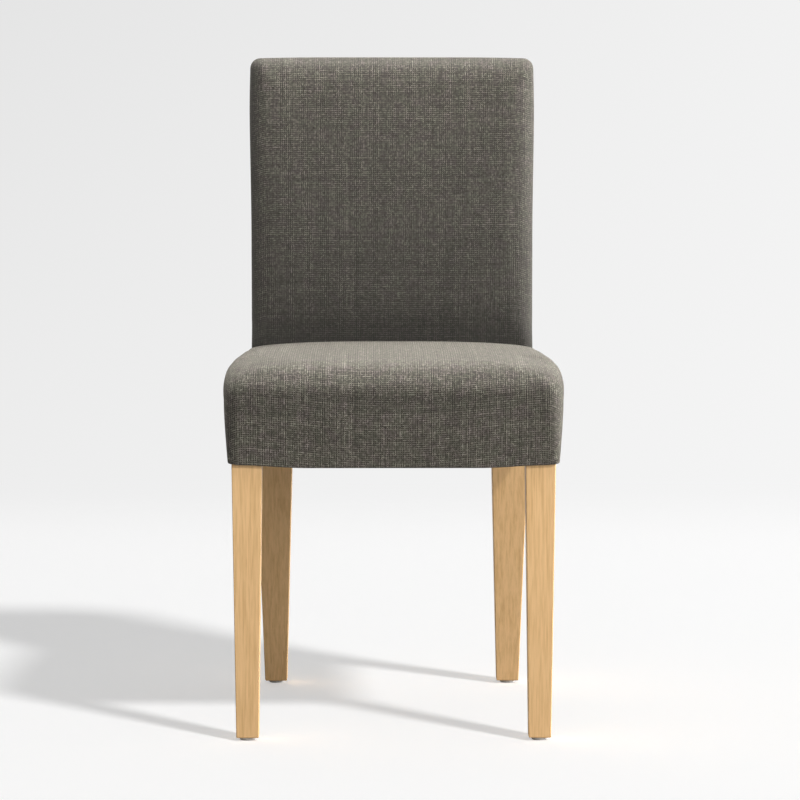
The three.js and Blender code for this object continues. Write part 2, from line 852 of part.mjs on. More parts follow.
function addCovers() {
  const lining_offset = cover_thickness + clearance;
  const seat_cover = cut(seatForm(0, hem_height), [seatForm(cover_thickness, below_hem), back_room]);
  const seat_foam = cut(seatForm(lining_offset, foam_bottom), [back_room]);
  const back_inside = backForm(cover_thickness, below_hem);
  const back_cover = cut(backForm(0, hem_height), [back_inside, tuckedFront()]);
  const back_foam = cut(backForm(lining_offset, foam_bottom + clearance), [backFrameRoom()]);
  addPiece(upholstery, "seat_cover", toGeometry(seat_cover), cloth);
  addPiece(upholstery, "seat_foam", toGeometry(seat_foam), foam);
  addPiece(upholstery, "back_cover", toGeometry(back_cover), cloth);
  addPiece(upholstery, "back_foam", toGeometry(back_foam), foam);
}

addFrame();
addFasteners();
addWebbing();
addBackPanel();
addDustCover();
addCovers();

export default chair;
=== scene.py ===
# An upholstered parsons chair on light oak legs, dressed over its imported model.
import math

import bpy
import numpy as np
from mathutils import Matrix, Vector


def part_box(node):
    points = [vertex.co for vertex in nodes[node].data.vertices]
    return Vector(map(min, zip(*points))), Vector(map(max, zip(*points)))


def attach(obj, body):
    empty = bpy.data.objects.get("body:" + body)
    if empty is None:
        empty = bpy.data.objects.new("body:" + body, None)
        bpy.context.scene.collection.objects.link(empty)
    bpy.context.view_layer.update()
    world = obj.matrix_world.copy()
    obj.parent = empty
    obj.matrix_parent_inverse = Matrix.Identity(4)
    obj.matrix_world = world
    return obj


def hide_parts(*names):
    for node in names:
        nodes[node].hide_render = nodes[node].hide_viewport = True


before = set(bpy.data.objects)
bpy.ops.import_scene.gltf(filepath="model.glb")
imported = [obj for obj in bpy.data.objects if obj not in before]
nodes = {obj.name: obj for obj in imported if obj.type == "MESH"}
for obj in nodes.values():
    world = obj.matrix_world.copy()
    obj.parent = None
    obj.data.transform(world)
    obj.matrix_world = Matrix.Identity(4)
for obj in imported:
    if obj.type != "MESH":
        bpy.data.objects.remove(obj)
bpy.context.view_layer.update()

MM = 0.001

# Sizes of the upholstery, in metres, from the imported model's own boxes
seat_low, seat_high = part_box("seat_cover")
back_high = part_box("back_cover")[1]
foam_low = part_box("seat_foam")[0]
post_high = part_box("rear_leg_right")[1]
lining_low, lining_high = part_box("dust_cover")

HEM = seat_low.z
SEAT_TOP = seat_high.z
SEAT_FRONT = seat_low.y
SEAT_HALF_FRONT = seat_high.x
SEAT_HALF_REAR = 214.5 * MM
BACK_TOP = back_high.z
BACK_HALF = back_high.x
FOAM_BOTTOM = foam_low.z

# Seat shape
SEAT_DEPTH = 445 * MM
SEAT_CROWN = 7.3 * MM
SEAT_CROWN_POWER = 3.3
SEAT_FRONT_ROUND = 46 * MM
SEAT_FRONT_POWER = 2.1
SEAT_SIDE_ROUND = 28 * MM
SEAT_SIDE_POWER = 3.2
SEAT_CORNER = 26 * MM
SEAT_CORNER_SOFT = 84 * MM
SEAT_HEM_CORNER = 9 * MM
SEAT_DRAW_IN = 6 * MM
SEAT_BULGE_DROP = 10 * MM
SEAT_WALL = 3 * MM

# Back shape
RECLINE = math.tan(math.radians(10))
BACK_DEPTH_HEM = 82 * MM
BACK_DEPTH_SEAT = 72 * MM
BACK_DEPTH_TOP = 64 * MM
BACK_FLARE = 4 * MM
BACK_FLARE_HEIGHT = 290 * MM
BACK_ROUND = 27 * MM
BACK_TOP_CORNER = 15 * MM
BACK_REAR_ROUND = 9 * MM
BACK_SEAM_ROUND = 5 * MM
BACK_SEAM_FADE = 40 * MM
BACK_CROWN = 4 * MM
BACK_WALL = 1.6 * MM

# Mesh and cloth
HEM_ROLL = 1.2 * MM
SEAT_GAP = 0.5 * MM
BACK_FACE = SEAT_FRONT + SEAT_DEPTH
SEAT_RIM = SEAT_TOP - SEAT_CROWN
SHOULDER = SEAT_RIM - SEAT_FRONT_ROUND
BULGE = SHOULDER - SEAT_BULGE_DROP


def mix(a, b, share):
    return a + (b - a) * share


def share_between(value, low, high):
    return np.clip((value - low) / (high - low), 0.0, 1.0)


def smooth(share):
    return share * share * (3 - 2 * share)


def faded(values, start, end):
    """0 up to start, 1 from end, and smooth between."""
    return smooth(share_between(values, start, end))


def bend(z, knee_y, knee_z, below, above, reach):
    """Two slopes that meet at a knee, with a smooth bend between them."""
    height = z - knee_z
    straight = knee_y + height * (below if height < 0 else above)
    inside = max(reach - abs(height), 0.0)
    return straight + (above - below) * inside ** 2 / (4 * reach)


# Outlines and padded shells

def corner_arc(start, corner, end, steps=16):
    """A quarter round between two tangent points."""
    share = np.linspace(0, 1, steps + 1)[:, None]
    before, after = (1 - share) ** 2, share ** 2
    middle = 2 * share * (1 - share) * math.sqrt(0.5)
    total = before + middle + after
    return (before * start + middle * corner + after * end) / total


def outline(corners, radii, counts):
    """A rounded outline, cut at the middle of each corner into the given pieces a side."""
    corners = [np.array(c, float) for c in corners]
    arcs = []
    for i, corner in enumerate(corners):
        before = corners[i - 1] - corner
        after = corners[(i + 1) % len(corners)] - corner
        start = corner + before / np.linalg.norm(before) * radii[i]
        end = corner + after / np.linalg.norm(after) * radii[i]
        arcs.append(corner_arc(start, corner, end))
    points = []
    for i, count in enumerate(counts):
        here, there = arcs[i], arcs[(i + 1) % len(arcs)]
        half = len(here) // 2
        path = np.vstack([here[half:], there[: half + 1]])
        length = np.r_[0, np.cumsum(np.linalg.norm(np.diff(path, axis=0), axis=1))]
        at = np.linspace(0, length[-1], count + 1)[:-1]
        points.append(np.stack([np.interp(at, length, path[:, k]) for k in (0, 1)], 1))
    return np.vstack(points)


def raised(points, z):
    return np.column_stack([points, np.full(len(points), z)])


def patch(ring, counts):
    """Fills a ring of four sides with a grid of rows from its first side to its third."""
    across, along = counts[0], counts[1]
    first = ring[: across + 1]
    right = ring[across: across + along + 1]
    third = ring[across + along: 2 * across + along + 1][::-1]
    left = np.vstack([ring[2 * across + along:], ring[:1]])[::-1]
    u = np.linspace(0, 1, across + 1)[None, :, None]
    v = np.linspace(0, 1, along + 1)[:, None, None]
    ruled = (1 - v) * first[None] + v * third[None] + (1 - u) * left[:, None] + u * right[:, None]
    flat = (
        (1 - u) * (1 - v) * first[0] + u * (1 - v) * first[-1]
        + (1 - u) * v * third[0] + u * v * third[-1]
    )
    return ruled - flat


def ring_names(start, counts):
    """The numbers of a ring's points laid round the edge of a patch."""
    across, along = counts[0], counts[1]
    size = 2 * (across + along)
    ring = [start + i for i in range(size)]
    names = np.full((along + 1, across + 1), -1, int)
    names[0, :] = ring[: across + 1]
    names[:, -1] = ring[across: across + along + 1]
    names[-1, ::-1] = ring[across + along: 2 * across + along + 1]
    names[1:, 0] = (ring[2 * across + along:] + ring[:1])[::-1][1:]
    return names


SIDE_WAYS = [((1, 0), (0, -1)), ((0, 1), (1, 0)), ((-1, 0), (0, 1)), ((0, -1), (-1, 0))]
BLEND_LENGTH = 60 * MM
WELD = 0.001 * MM


def cloth_map(rings, counts, wrapped):
    """Cloth coordinates of each side, in metres, measured down from its top ring.

    A wrapped cloth runs on round the corners. Otherwise each side carries on from the top,
    so that its threads fold over the edge, with a fold line down the middle of each corner."""
    closed = np.concatenate([rings, rings[:, :1]], axis=1)
    steps = np.linalg.norm(np.diff(closed, axis=0), axis=2)
    drops = np.vstack([np.cumsum(steps[::-1], axis=0)[::-1], np.zeros((1, closed.shape[1]))])
    around = np.linalg.norm(np.diff(closed, axis=1), axis=2)
    arc = np.concatenate([np.zeros((len(rings), 1)), np.cumsum(around, axis=1)], axis=1)
    maps, start = [], 0
    for side, count in enumerate(counts):
        end = start + count
        part = arc[:, start: end + 1]
        drop = drops[:, start: end + 1]
        along = part - (part[:, :1] + part[:, -1:]) / 2
        if wrapped:
            turned = 0 if side < 3 else arc[:, -1:]
            u = part - turned - arc[:, counts[0] // 2][:, None]
            maps.append(np.stack([u, -drop], 2))
        else:
            tangent, outward = (np.array(way, float) for way in SIDE_WAYS[side])
            rim = closed[-1, start: end + 1, :2]
            share = faded(drop, 0, BLEND_LENGTH)
            here = closed[:, start: end + 1, :2] @ tangent
            place = mix(here, along + (rim @ tangent).mean(), share)
            depth = (rim @ outward)[None] + drop
            maps.append(place[..., None] * tangent + depth[..., None] * outward)
        start = end
    return maps


def joined(points, faces, cloth):
    """Joins points that coincide, and leaves out the faces and points that nothing needs then."""
    rounded = np.round(points / WELD).astype(int)
    _, first, same = np.unique(rounded, axis=0, return_index=True, return_inverse=True)
    same = same.ravel()
    kept, spots = [], []
    for number, face in enumerate(faces):
        ring = [int(same[n]) for n in face]
        corners = [k for k in range(4) if ring[k] != ring[k - 1]]
        if len(corners) > 2:
            kept.append([ring[k] for k in corners])
            spots += [cloth[4 * number + k] for k in corners]
    used = np.unique([n for face in kept for n in face])
    order = np.zeros(len(first), int)
    order[used] = np.arange(len(used))
    return points[first[used]], [tuple(int(order[n]) for n in face) for face in kept], spots, first[used]


def shown(name, data):
    thing = bpy.data.objects.new(name, data)
    bpy.context.scene.collection.objects.link(thing)
    return thing


def cloth_piece(name, points, faces, cloth):
    """A smooth mesh with its own flat cloth map."""
    mesh = bpy.data.meshes.new(name)
    mesh.from_pydata([tuple(map(float, p)) for p in points], [], faces)
    mesh.uv_layers.new(name="cloth").data.foreach_set("uv", np.array(cloth, float).ravel())
    mesh.shade_smooth()
    return shown(name, mesh)


def shell(name, outer, inner, counts, open_side, open_level, top, ceiling, wrapped=False):
    """A padded cover: an outer and an inner skin of rings, closed along every edge.

    Below open_level one side is left out, where the frame runs through."""
    size = sum(counts)
    starts = np.cumsum([0] + list(counts))
    points = [outer.reshape(-1, 3), inner.reshape(-1, 3)]
    base_in = len(points[0])
    faces, cloth = [], []
    maps = cloth_map(outer, counts, wrapped)

    def quad(names, places):
        faces.append(tuple(int(n) for n in names))
        cloth.extend(places)

    for side, count in enumerate(counts):
        foot = open_level if side == open_side else 0
        chart = maps[side]
        for k in range(count):
            i = starts[side] + k
            j = (i + 1) % size
            for level in range(foot, len(outer) - 1):
                low, high = level * size, (level + 1) * size
                spots = [chart[level + 1, k], chart[level, k], chart[level, k + 1], chart[level + 1, k + 1]]
                quad((high + i, low + i, low + j, high + j), spots)
            for level in range(foot, len(inner) - 1):
                low, high = base_in + level * size, base_in + (level + 1) * size
                spots = [chart[level, k], chart[level + 1, k], chart[level + 1, k + 1], chart[level, k + 1]]
                quad((low + i, high + i, high + j, low + j), spots)
            out, into = foot * size, base_in + foot * size
            spots = [chart[foot, k], chart[foot, k], chart[foot, k + 1], chart[foot, k + 1]]
            quad((out + i, into + i, into + j, out + j), spots)
    first, last = starts[open_side], starts[open_side + 1] % size
    for level in range(open_level):
        low, high = level * size, (level + 1) * size
        chart = maps[open_side]
        for column, k in ((first, 0), (last, counts[open_side])):
            names = [low + column, base_in + low + column, base_in + high + column, high + column]
            spots = [chart[level, k], chart[level, k], chart[level + 1, k], chart[level + 1, k]]
            if column == last:
                names, spots = names[::-1], spots[::-1]
            quad(names, spots)
    total = len(points[0]) + len(points[1])
    top_start, ceiling_start = (len(outer) - 1) * size, base_in + (len(inner) - 1) * size
    for grid, start, up in ((top, top_start, True), (ceiling, ceiling_start, False)):
        names = ring_names(start, counts)
        rows, columns = names.shape
        inside = grid[1:-1, 1:-1].reshape(-1, 3)
        names[1:-1, 1:-1] = (total + np.arange(len(inside))).reshape(rows - 2, columns - 2)
        points.append(inside)
        total += len(inside)
        flat = grid[..., :2].copy()
        if wrapped:
            flat[..., 1] -= grid[0, :, 1].mean()
        for r in range(rows - 1):
            for c in range(columns - 1):
                names4 = (names[r, c], names[r, c + 1], names[r + 1, c + 1], names[r + 1, c])
                spots = (flat[r, c], flat[r, c + 1], flat[r + 1, c + 1], flat[r + 1, c])
                quad(names4 if up else names4[::-1], spots if up else spots[::-1])
    free = np.zeros(total)
    free[:base_in] = 1
    free[base_in + len(points[1]): base_in + len(points[1]) + len(points[2])] = 1
    points, faces, cloth, kept = joined(np.vstack(points), faces, cloth)
    return cloth_piece(name, points, faces, cloth), free[kept]


# The seat: one cloth over the top and down all four sides to a turned hem

SEAT_COUNTS = (66, 62, 66, 62)
SEAT_ROLL_STEPS = (0.12, 0.24, 0.36, 0.47, 0.57, 0.66, 0.74, 0.81, 0.87, 0.92, 0.955, 0.98, 0.994, 1.0)
SEAT_TAPER = (460 - 429) / 2 / 445


def back_face(z):
    knee_y = BACK_FACE - SEAT_FRONT_ROUND * RECLINE
    return bend(z, knee_y, SEAT_TOP - SEAT_FRONT_ROUND, 0, RECLINE, SEAT_FRONT_ROUND / 2)


def back_depth(z):
    if z < SEAT_TOP:
        return mix(BACK_DEPTH_HEM, BACK_DEPTH_SEAT, share_between(z, HEM, SEAT_TOP))
    return mix(BACK_DEPTH_SEAT, BACK_DEPTH_TOP, share_between(z, SEAT_TOP, BACK_TOP))


def back_half(z):
    flare_start = BACK_TOP - BACK_FLARE_HEIGHT
    share = faded(z, flare_start, BACK_TOP - BACK_ROUND)
    return BACK_HALF - BACK_FLARE * (1 - share)


def back_swell(x, z):
    """How far the padded front of the back stands forward of its plain face."""
    rise = share_between(z, HEM, BACK_TOP)
    return BACK_CROWN * math.sin(math.pi * rise) * np.clip(1 - (x / back_half(z)) ** 2, 0, 1)


def edge_roll(z, round_size, power):
    """How far a rolled edge has come in at a height, from its full width to the rim."""
    share = share_between(z, SEAT_RIM - round_size, SEAT_RIM)
    return round_size * (1 - (1 - share ** power) ** (1 / power))


def seat_ring(z, offset):
    """The front edge of the seat has a long roll, and the sides a tighter one."""
    drawn = seat_inset(z) + offset
    front_roll = edge_roll(z, SEAT_FRONT_ROUND, SEAT_FRONT_POWER)
    inset = drawn + edge_roll(z, SEAT_SIDE_ROUND, SEAT_SIDE_POWER)
    front = SEAT_HALF_FRONT + SEAT_TAPER * SEAT_CORNER - inset
    rear = SEAT_HALF_REAR - inset
    face = SEAT_FRONT + drawn + front_roll
    end = BACK_FACE + BACK_SEAM_ROUND
    upright = mix(SEAT_HEM_CORNER, SEAT_CORNER, share_between(z, HEM, BULGE)) - offset
    radius = upright + SEAT_CORNER_SOFT * front_roll / SEAT_FRONT_ROUND
    corners = [(-front, face), (front, face), (rear, end), (-rear, end)]
    return outline(corners, [radius, radius, BACK_SEAM_ROUND, BACK_SEAM_ROUND], SEAT_COUNTS)


def against_back(points):
    """Keeps seat points in front of the back's padded face."""
    for point in points:
        limit = back_face(point[2]) - back_swell(point[0], point[2]) - SEAT_GAP
        point[1] = min(point[1], limit)
    return points


def seat_inset(z):
    return SEAT_DRAW_IN * (1 - share_between(z, HEM, BULGE)) ** 1.3


def seat_crown(points):
    """Swells the top across the seat, and from the front edge to the middle."""
    half = np.abs(points[:, 0]).max()
    front, rear = points[:, 1].min(), points[:, 1].max()
    centre = (front + rear) / 2
    across = 1 - np.clip(np.abs(points[:, 0]) / half, 0, 1) ** SEAT_CROWN_POWER
    forward = 1 - (np.clip(centre - points[:, 1], 0, None) / (centre - front)) ** 2
    points[:, 2] += SEAT_CROWN * across * forward
    return points


HEM_CLIMB = 4.0 * MM
HEM_CORNER_CLIMB = 1.8 * MM
HEM_FADE = 70 * MM


def hem_rise(points):
    """The hem climbs a little to each front corner, and rounds over at the very corner."""
    width = np.abs(points[:, 0])
    climb = faded(width, SEAT_HALF_FRONT - 112 * MM, SEAT_HALF_FRONT - 22 * MM)
    rounded = faded(width, SEAT_HALF_FRONT - 20 * MM, SEAT_HALF_FRONT - 5 * MM)
    forward = 1 - faded(points[:, 1], SEAT_FRONT + 18 * MM, SEAT_FRONT + 110 * MM)
    near_hem = 1 - share_between(points[:, 2], HEM, HEM + HEM_FADE)
    points[:, 2] += (HEM_CLIMB * climb + HEM_CORNER_CLIMB * rounded) * forward * near_hem
    return points


BEAD = 1.5 * MM
BEAD_AT = 5 * MM
CREASE = 1.9 * MM
CREASE_AT = 11.5 * MM
FOLD_REACH = 18 * MM


def corner_fold(points):
    """The cloth folded under at each front corner stands out as a small bead below a crease."""
    for side in (-1, 1):
        corner = np.array([side * (SEAT_HALF_FRONT - SEAT_HEM_CORNER), SEAT_FRONT + SEAT_HEM_CORNER])
        out = points[:, :2] - corner
        reach = np.linalg.norm(out, axis=1)
        heading = (out[:, 0] * side - out[:, 1]) / np.maximum(reach, 1e-6) / math.sqrt(2)
        near = np.clip((heading - 0.55) / 0.45, 0, 1) * np.exp(-(reach / FOLD_REACH) ** 2)
        height = points[:, 2] - HEM
        bead = BEAD * np.exp(-((height - BEAD_AT) / (3.5 * MM)) ** 2)
        crease = CREASE * np.exp(-((height - CREASE_AT) / (2.6 * MM)) ** 2)
        points[:, :2] += out / np.maximum(reach, 1e-6)[:, None] * ((bead - crease) * near)[:, None]
    return points


SHOULDER_FILL = 2.5 * MM


def full_shoulder(points):
    """The padding fills the cover out along both sides, between the front roll and the back."""
    along = share_between(points[:, 1], SEAT_FRONT, BACK_FACE)
    inset = mix(SEAT_HALF_FRONT, SEAT_HALF_REAR, along) - np.abs(points[:, 0])
    beside = 1 - faded(inset, 22 * MM, 80 * MM)
    high = faded(points[:, 2], SEAT_RIM - 28 * MM, SEAT_RIM - 6 * MM)
    behind_roll = faded(points[:, 1], SEAT_FRONT + 60 * MM, SEAT_FRONT + 170 * MM)
    before_back = 1 - faded(points[:, 1], BACK_FACE - 150 * MM, BACK_FACE - 40 * MM)
    points[:, 2] += SHOULDER_FILL * beside * high * behind_roll * before_back
    return points


HEM_ROWS = (1.2, 3, 5.2, 7.6, 9.8, 11.8, 14, 17, 22)
HEM_TURN = 0.9 * MM


def make_seat():
    hem_rows = HEM + np.array(HEM_ROWS) * MM
    low = np.append(hem_rows, np.linspace(hem_rows[-1], FOAM_BOTTOM, 9)[1:])
    high = np.linspace(FOAM_BOTTOM, SHOULDER, 4)[1:]
    outer = [raised(seat_ring(HEM, HEM_TURN), HEM)]
    outer += [raised(seat_ring(z, 0), z) for z in [*low, *high]]
    for share in SEAT_ROLL_STEPS:
        z = mix(SHOULDER, SEAT_RIM, share)
        outer.append(raised(seat_ring(z, 0), z))
    outer[-1] = seat_crown(outer[-1])
    outer = np.array([hem_rise(corner_fold(against_back(full_shoulder(ring)))) for ring in outer])
    inner = [raised(seat_ring(HEM, SEAT_WALL - HEM_TURN), HEM)]
    inner += [raised(seat_ring(z, SEAT_WALL), z) for z in low]
    inner = np.array([hem_rise(against_back(ring)) for ring in inner])
    rim = outer[-1].copy()
    rim[:, 2] = SEAT_RIM
    grid = patch(rim, SEAT_COUNTS)
    flat = seat_crown(grid.reshape(-1, 3))
    top = against_back(full_shoulder(flat)).reshape(grid.shape)
    ceiling = patch(inner[-1], SEAT_COUNTS)
    return shell("seat_upholstery", outer, inner, SEAT_COUNTS, 2, len(low), top, ceiling)


# The back: one cloth up the front, over the top and round the sides

BACK_COUNTS = (60, 12, 60, 12)
KNEE_DROP = 87 * MM
KNEE_IN = 24 * MM
KNEE_Z = SEAT_TOP - KNEE_DROP
KNEE_REACH = 75 * MM
POST_FACE_SLOPE = -0.243
POST_CLEAR = 2 * MM


def frame_face(z):
    """The front of the posts and webbing, which the padding lies on."""
    knee_y = BACK_FACE + KNEE_IN - KNEE_DROP * RECLINE
    return bend(z, knee_y, KNEE_Z, POST_FACE_SLOPE, RECLINE, KNEE_REACH) - POST_CLEAR


def fallen(z, top, round_size):
    """How far a rounded edge has come in at a height."""
    into = max(z - (top - round_size), 0)
    return round_size - math.sqrt(max(round_size ** 2 - into ** 2, 0))


def back_ring(z, turn, offset=0.0):
    """The outside of the back. turn falls to 0 over the top, where its corners tighten."""
    half = back_half(z) - offset - fallen(z, BACK_TOP, BACK_TOP_CORNER)
    face = back_face(z) + offset + fallen(z, BACK_TOP, BACK_ROUND)
    rear = back_face(z) + back_depth(z) - offset - fallen(z, BACK_TOP, BACK_REAR_ROUND)
    seam = faded(z, SEAT_TOP - BACK_SEAM_FADE, SEAT_TOP + BACK_SEAM_FADE)
    front_round = mix(BACK_SEAM_ROUND, BACK_ROUND, seam) * turn + BACK_SEAM_ROUND * (1 - turn)
    rear_round = mix(BACK_SEAM_ROUND, BACK_REAR_ROUND, turn)
    corners = [(-half, face), (half, face), (half, rear), (-half, rear)]
    points = outline(corners, [front_round, front_round, rear_round, rear_round], BACK_COUNTS)
    middle = (face + rear) / 2
    forward = back_swell(points[:, 0], z) * turn * (points[:, 1] < middle)
    points[:, 1] -= forward
    return raised(points, z)


def inner_back_ring(z):
    """The room for the posts, rails and webbing inside the cover."""
    half = back_half(min(z, BACK_TOP - BACK_ROUND)) - BACK_WALL
    face = frame_face(z)
    rear = back_face(z) + back_depth(z) - BACK_WALL
    corners = [(-half, face), (half, face), (half, rear), (-half, rear)]
    return raised(outline(corners, [2 * MM] * 4, BACK_COUNTS), z)


def make_back():
    low = np.linspace(HEM + HEM_ROLL, FOAM_BOTTOM, 12)
    ceiling_z = post_high.z + 0.8 * MM
    field = np.linspace(FOAM_BOTTOM, BACK_TOP - BACK_ROUND, 66)[1:]
    lip = back_ring(HEM + HEM_ROLL, 1, 0.5 * MM)
    lip[:, 2] = HEM
    outer = [lip] + [back_ring(z, 1) for z in [*low, *field]]
    steps = 9
    for step in range(1, steps + 1):
        angle = step / steps * math.pi / 2
        z = BACK_TOP - BACK_ROUND + BACK_ROUND * math.sin(angle)
        outer.append(back_ring(z, math.cos(angle)))
    inner_heights = [*low, *[z for z in field if z < ceiling_z], ceiling_z]
    under = inner_back_ring(HEM + HEM_ROLL)
    under[:, 2] = HEM
    inner = [under] + [inner_back_ring(z) for z in inner_heights]
    outer, inner = np.array(outer), np.array(inner)
    top = patch(outer[-1], BACK_COUNTS)
    ceiling = patch(inner[-1], BACK_COUNTS)
    return shell("back_upholstery", outer, inner, BACK_COUNTS, 0, len(low), top, ceiling, wrapped=True)


# The outside back: a plain panel with folded edges, sewn on over the rear

PANEL_INSET = 6 * MM
PANEL_THICK = 1.7 * MM
PANEL_EDGE = 3.2 * MM
PANEL_SWELL = 1.2 * MM
PANEL_LIFT = 0.15 * MM
PUCKER = 0.25 * MM
PUCKER_STEP = 9 * MM
PUCKER_REACH = 6 * MM
PANEL_LOW = HEM + 1.5 * MM
PANEL_HIGH = BACK_TOP - 13 * MM


def rear_face(z):
    return back_face(z) + back_depth(z) - fallen(z, BACK_TOP, BACK_REAR_ROUND)


def stretched_steps(count, edge_share, edge_steps):
    """Shares from 0 to 1, closer together near both ends."""
    edge = np.linspace(0, edge_share, edge_steps, endpoint=False)
    middle = np.linspace(edge_share, 1 - edge_share, count)
    return np.r_[edge, middle, 1 - edge[::-1]]


def make_outside_back():
    columns = stretched_steps(58, 0.009, 5)
    rows = stretched_steps(76, 0.0066, 5)
    span = PANEL_HIGH - PANEL_LOW
    front, rear, cloth = [], [], []
    for v in rows:
        z = mix(PANEL_LOW, PANEL_HIGH, v)
        half = back_half(z) - PANEL_INSET
        for u in columns:
            x = mix(-half, half, u)
            rim = min(u * 2 * half, (1 - u) * 2 * half, v * span, (1 - v) * span)
            rise = math.sqrt(max(1 - (1 - min(rim / PANEL_EDGE, 1)) ** 2, 0))
            wave = math.sin((x + z) * 2 * math.pi / PUCKER_STEP)
            pucker = PUCKER * wave * math.exp(-rim / PUCKER_REACH)
            swell = PANEL_SWELL * math.sin(math.pi * u) ** 0.6 * math.sin(math.pi * v) ** 0.6
            base = rear_face(z) + PANEL_LIFT
            rear.append((x, base + (PANEL_THICK + pucker) * rise + swell, z))
            front.append((x, base, z))
            cloth.append((x, z))
    across, up = len(columns), len(rows)
    count = len(rear)
    faces, spots = [], []
    for r in range(up - 1):
        for c in range(across - 1):
            a, b = r * across + c, r * across + c + 1
            d, e = a + across, b + across
            faces += [(b, a, d, e), (count + a, count + b, count + e, count + d)]
            spots += [b, a, d, e, a, b, e, d]
    edge = list(range(across))
    edge += [r * across + across - 1 for r in range(1, up)]
    edge += [(up - 1) * across + c for c in range(across - 2, -1, -1)]
    edge += [r * across for r in range(up - 2, 0, -1)]
    for i, a in enumerate(edge):
        b = edge[(i + 1) % len(edge)]
        faces.append((a, b, count + b, count + a))
        spots += [a, b, b, a]
    points, faces, spots, _ = joined(np.array(rear + front), faces, [cloth[n] for n in spots])
    return cloth_piece("outside_back", points, faces, spots)


# Cloth simulation

SETTLE_FRAMES = 20


def places(mesh):
    spots = np.empty(len(mesh.vertices) * 3)
    mesh.vertices.foreach_get("co", spots)
    return spots.reshape(-1, 3)


def settle(piece, held, pressure, limit):
    """Lets a padded cover fill out under light pressure, then keeps the settled shape.

    held gives each point's hold, from 0, free, to 1, pinned."""
    before = places(piece.data)
    group = piece.vertex_groups.new(name="held")
    for i, hold in enumerate(held):
        if hold > 0:
            group.add([i], float(hold), "REPLACE")
    cloth_modifier = piece.modifiers.new("settling", "CLOTH")
    settings = cloth_modifier.settings
    settings.vertex_group_mass = "held"
    settings.use_pressure = True
    settings.uniform_pressure_force = pressure
    settings.effector_weights.gravity = 0
    settings.quality = 5
    settings.mass = 0.4
    settings.tension_stiffness = settings.compression_stiffness = 25
    settings.shear_stiffness = 12
    settings.bending_stiffness = 4
    settings.air_damping = 3
    cloth_modifier.collision_settings.use_collision = False
    cloth_modifier.point_cache.frame_end = SETTLE_FRAMES
    scene = bpy.context.scene
    for number in range(1, SETTLE_FRAMES + 1):
        scene.frame_set(number)
    graph = bpy.context.evaluated_depsgraph_get()
    after = places(piece.evaluated_get(graph).to_mesh())
    piece.evaluated_get(graph).to_mesh_clear()
    piece.modifiers.remove(cloth_modifier)
    scene.frame_set(1)
    moved = after - before
    length = np.linalg.norm(moved, axis=1, keepdims=True)
    moved *= np.minimum(1, limit / np.maximum(length, 1e-9))
    moved *= (1 - np.array(held))[:, None]
    piece.data.vertices.foreach_set("co", (before + moved).ravel())
    piece.data.update()
    piece.vertex_groups.clear()


SEAT_PRESSURE = 1.2
SEAT_LIMIT = 1.2 * MM
BACK_PRESSURE = 0.8
BACK_LIMIT = 1.2 * MM


def seat_hold(piece, free):
    """The seat cover is held down its sides, and where it meets the back."""
    spots = places(piece.data)
    above_hem = faded(spots[:, 2], SHOULDER - 30 * MM, SHOULDER + 15 * MM)
    before_back = 1 - faded(spots[:, 1], BACK_FACE - 30 * MM, BACK_FACE - 12 * MM)
    return 1 - free * above_hem * before_back


def back_hold(piece, free):
    """The back cover is held down to the seat, and along its rear edges."""
    spots = places(piece.data)
    above_seat = faded(spots[:, 2], SEAT_TOP - 5 * MM, SEAT_TOP + 35 * MM)
    rear = np.array([rear_face(z) for z in spots[:, 2]])
    before_rear = 1 - faded(spots[:, 1] - rear, -26 * MM, -4 * MM)
    return 1 - free * above_seat * before_rear


def lay_painted_light(piece, shades):
    """Stores the painted light and shade of the cloth at each point; the cloth's colour is multiplied by it.
    """
    piece.data.attributes.new("painted_light", "FLOAT", "POINT").data.foreach_set("value", shades)


# Painted light and shade on the seat cover, as factors on the cloth's colour.
SEAT_PAINTED_LEVEL = 1.31
PAINTED_SHADE_EDGE = 22 * MM
LEFT_PAINTED_SHADE = 0.46
RIGHT_PAINTED_SHADE = 0.16


def seat_painted_light(piece):
    """Painted light on the seat cover: the whole cover lighter than the back and its front lighter still,
    with painted shade at its left and right ends and under its roll.
    """
    spots = places(piece.data)
    before = spots[:, 1] < SEAT_FRONT + 60 * MM
    front = (1 - faded(spots[:, 2], SHOULDER - 20 * MM, SHOULDER + 15 * MM)) * before
    left = 1 - faded(spots[:, 0], -SEAT_HALF_FRONT, -SEAT_HALF_FRONT + PAINTED_SHADE_EDGE)
    right = faded(spots[:, 0], SEAT_HALF_FRONT - PAINTED_SHADE_EDGE, SEAT_HALF_FRONT)
    roll = faded(spots[:, 2], SHOULDER - 32 * MM, SHOULDER - 14 * MM)
    roll = roll * (1 - faded(spots[:, 2], SHOULDER - 6 * MM, SHOULDER + 12 * MM))
    front = front - 1.2 * roll * before
    return SEAT_PAINTED_LEVEL + 0.11 * front - (LEFT_PAINTED_SHADE * left + RIGHT_PAINTED_SHADE * right) * np.clip(front, 0, 1)


# Painted light and shade on the back cover, as factors on the cloth's colour.
BACK_PAINTED_LEVEL = 0.98
BACK_LEFT_PAINTED_SHADE = 0.62
PAINTED_LEVEL_AT_SEAT = 0.48
PAINTED_LIGHT_RISE = 0.36
CREASE_PAINTED_SHADE = 0.24
CREASE_REACH = 65 * MM
TOP_PAINTED_HIGHLIGHT = 1.8
TOP_HIGHLIGHT_REACH = 150 * MM


